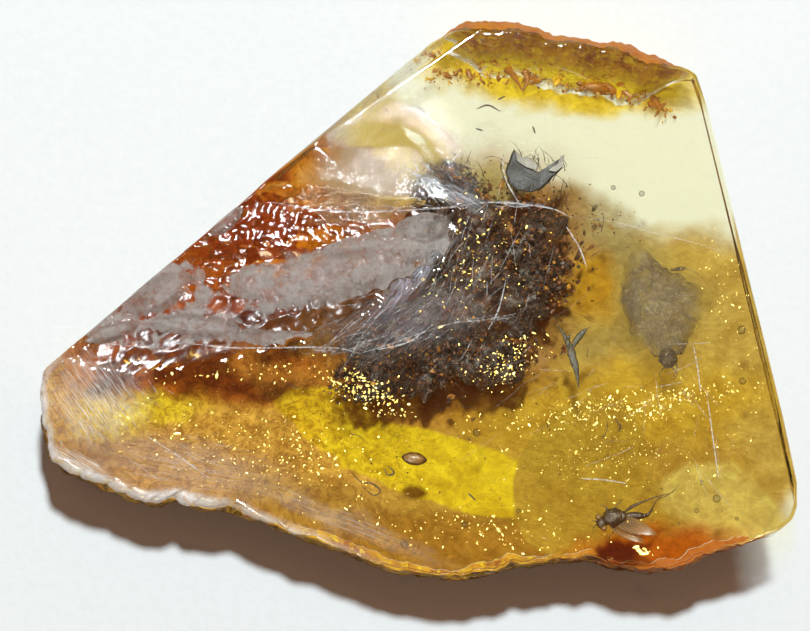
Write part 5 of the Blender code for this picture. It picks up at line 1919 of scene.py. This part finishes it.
class AMBER_OT_stage(Operator):
    """Lay the floor and set the lamps and the camera"""

    bl_idname = "amber.stage"
    bl_label = "Stage"

    def execute(self, context):
        settings = context.scene.amber_stage
        scene = context.scene
        mesh = bpy.data.meshes.new("floor")
        corners = [(-1, -1), (1, -1), (1, 1), (-1, 1)]
        points = [(x * FLOOR_HALF, y * FLOOR_HALF, -FLOOR_DROP) for x, y in corners]
        mesh.from_pydata(points, [], [(0, 1, 2, 3)])
        mesh.materials.append(paper_material())
        floor = bpy.data.objects.new("floor", mesh)
        scene.collection.objects.link(floor)

        powers = (settings.key_power, settings.gloss_power, settings.rim_power)
        key, gloss, rim = (add_lamp(*lamp, power) for lamp, power in zip(LAMPS, powers))
        key.data.color = settings.key_colour
        for lamp in (gloss, rim):
            lamp.visible_diffuse = False
            lamp.visible_transmission = False
        world = bpy.data.worlds.new("surroundings")
        world.use_nodes = True
        background = world.node_tree.nodes["Background"].inputs
        background["Color"].default_value = (*settings.sky, 1.0)
        scene.world = world

        offset_x = (PHOTO_WIDTH / 2 - SLAB_CENTRE_PIXEL[0]) * MM_PER_PIXEL * MM
        offset_y = (SLAB_CENTRE_PIXEL[1] - PHOTO_HEIGHT / 2) * MM_PER_PIXEL * MM
        target = Vector((offset_x, offset_y, TARGET_HEIGHT))
        optics = bpy.data.cameras.new("camera")
        optics.sensor_width = SENSOR_WIDTH
        optics.lens = SENSOR_WIDTH * settings.distance / (PHOTO_WIDTH * MM_PER_PIXEL * MM)
        optics.clip_start = 0.01
        optics.clip_end = 5.0
        camera = bpy.data.objects.new("camera", optics)
        scene.collection.objects.link(camera)
        back = Vector((0.0, -math.cos(settings.elevation), math.sin(settings.elevation)))
        camera.location = target + back * settings.distance
        aim(camera, target)
        scene.camera = camera
        scene.view_settings.view_transform = "Standard"
        scene.cycles.max_bounces = 8
        scene.cycles.transmission_bounces = 8
        scene.cycles.transparent_max_bounces = 12
        scene.cycles.caustics_refractive = False
        scene.cycles.caustics_reflective = False
        return {"FINISHED"}


class AMBER_PT_panel(Panel):
    """Build steps of the amber specimen"""

    bl_label = "Insect in Amber"
    bl_idname = "AMBER_PT_panel"
    bl_space_type = "VIEW_3D"
    bl_region_type = "UI"
    bl_category = "Amber"

    def draw(self, context):
        for operator in OPERATORS:
            self.layout.operator(operator.bl_idname)


OPERATORS = (
    AMBER_OT_slab, AMBER_OT_crust, AMBER_OT_film, AMBER_OT_polish, AMBER_OT_scratches, AMBER_OT_debris,
    AMBER_OT_scrap, AMBER_OT_fleck, AMBER_OT_seed, AMBER_OT_fly, AMBER_OT_broad, AMBER_OT_specks,
    AMBER_OT_spangles, AMBER_OT_stage,
)
CLASSES = (AmberSizes, AmberColours, StageSettings, *OPERATORS, AMBER_PT_panel)


def register():
    """Register the classes and hang their settings on the scene."""
    for item in CLASSES:
        bpy.utils.register_class(item)
    bpy.types.Scene.amber_sizes = PointerProperty(type=AmberSizes)
    bpy.types.Scene.amber_colours = PointerProperty(type=AmberColours)
    bpy.types.Scene.amber_stage = PointerProperty(type=StageSettings)


def unregister():
    """Take the settings and the classes away again."""
    del bpy.types.Scene.amber_stage
    del bpy.types.Scene.amber_colours
    del bpy.types.Scene.amber_sizes
    for item in reversed(CLASSES):
        bpy.utils.unregister_class(item)


def main():
    """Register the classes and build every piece."""
    register()
    bpy.ops.amber.slab()
    bpy.ops.amber.crust()
    bpy.ops.amber.film()
    bpy.ops.amber.polish()
    bpy.ops.amber.scratches()
    bpy.ops.amber.debris()
    bpy.ops.amber.scrap()
    bpy.ops.amber.fleck()
    bpy.ops.amber.seed()
    bpy.ops.amber.fly()
    bpy.ops.amber.broad()
    bpy.ops.amber.specks()
    bpy.ops.amber.spangles()
    bpy.ops.amber.stage()


if __name__ == "__main__":
    main()
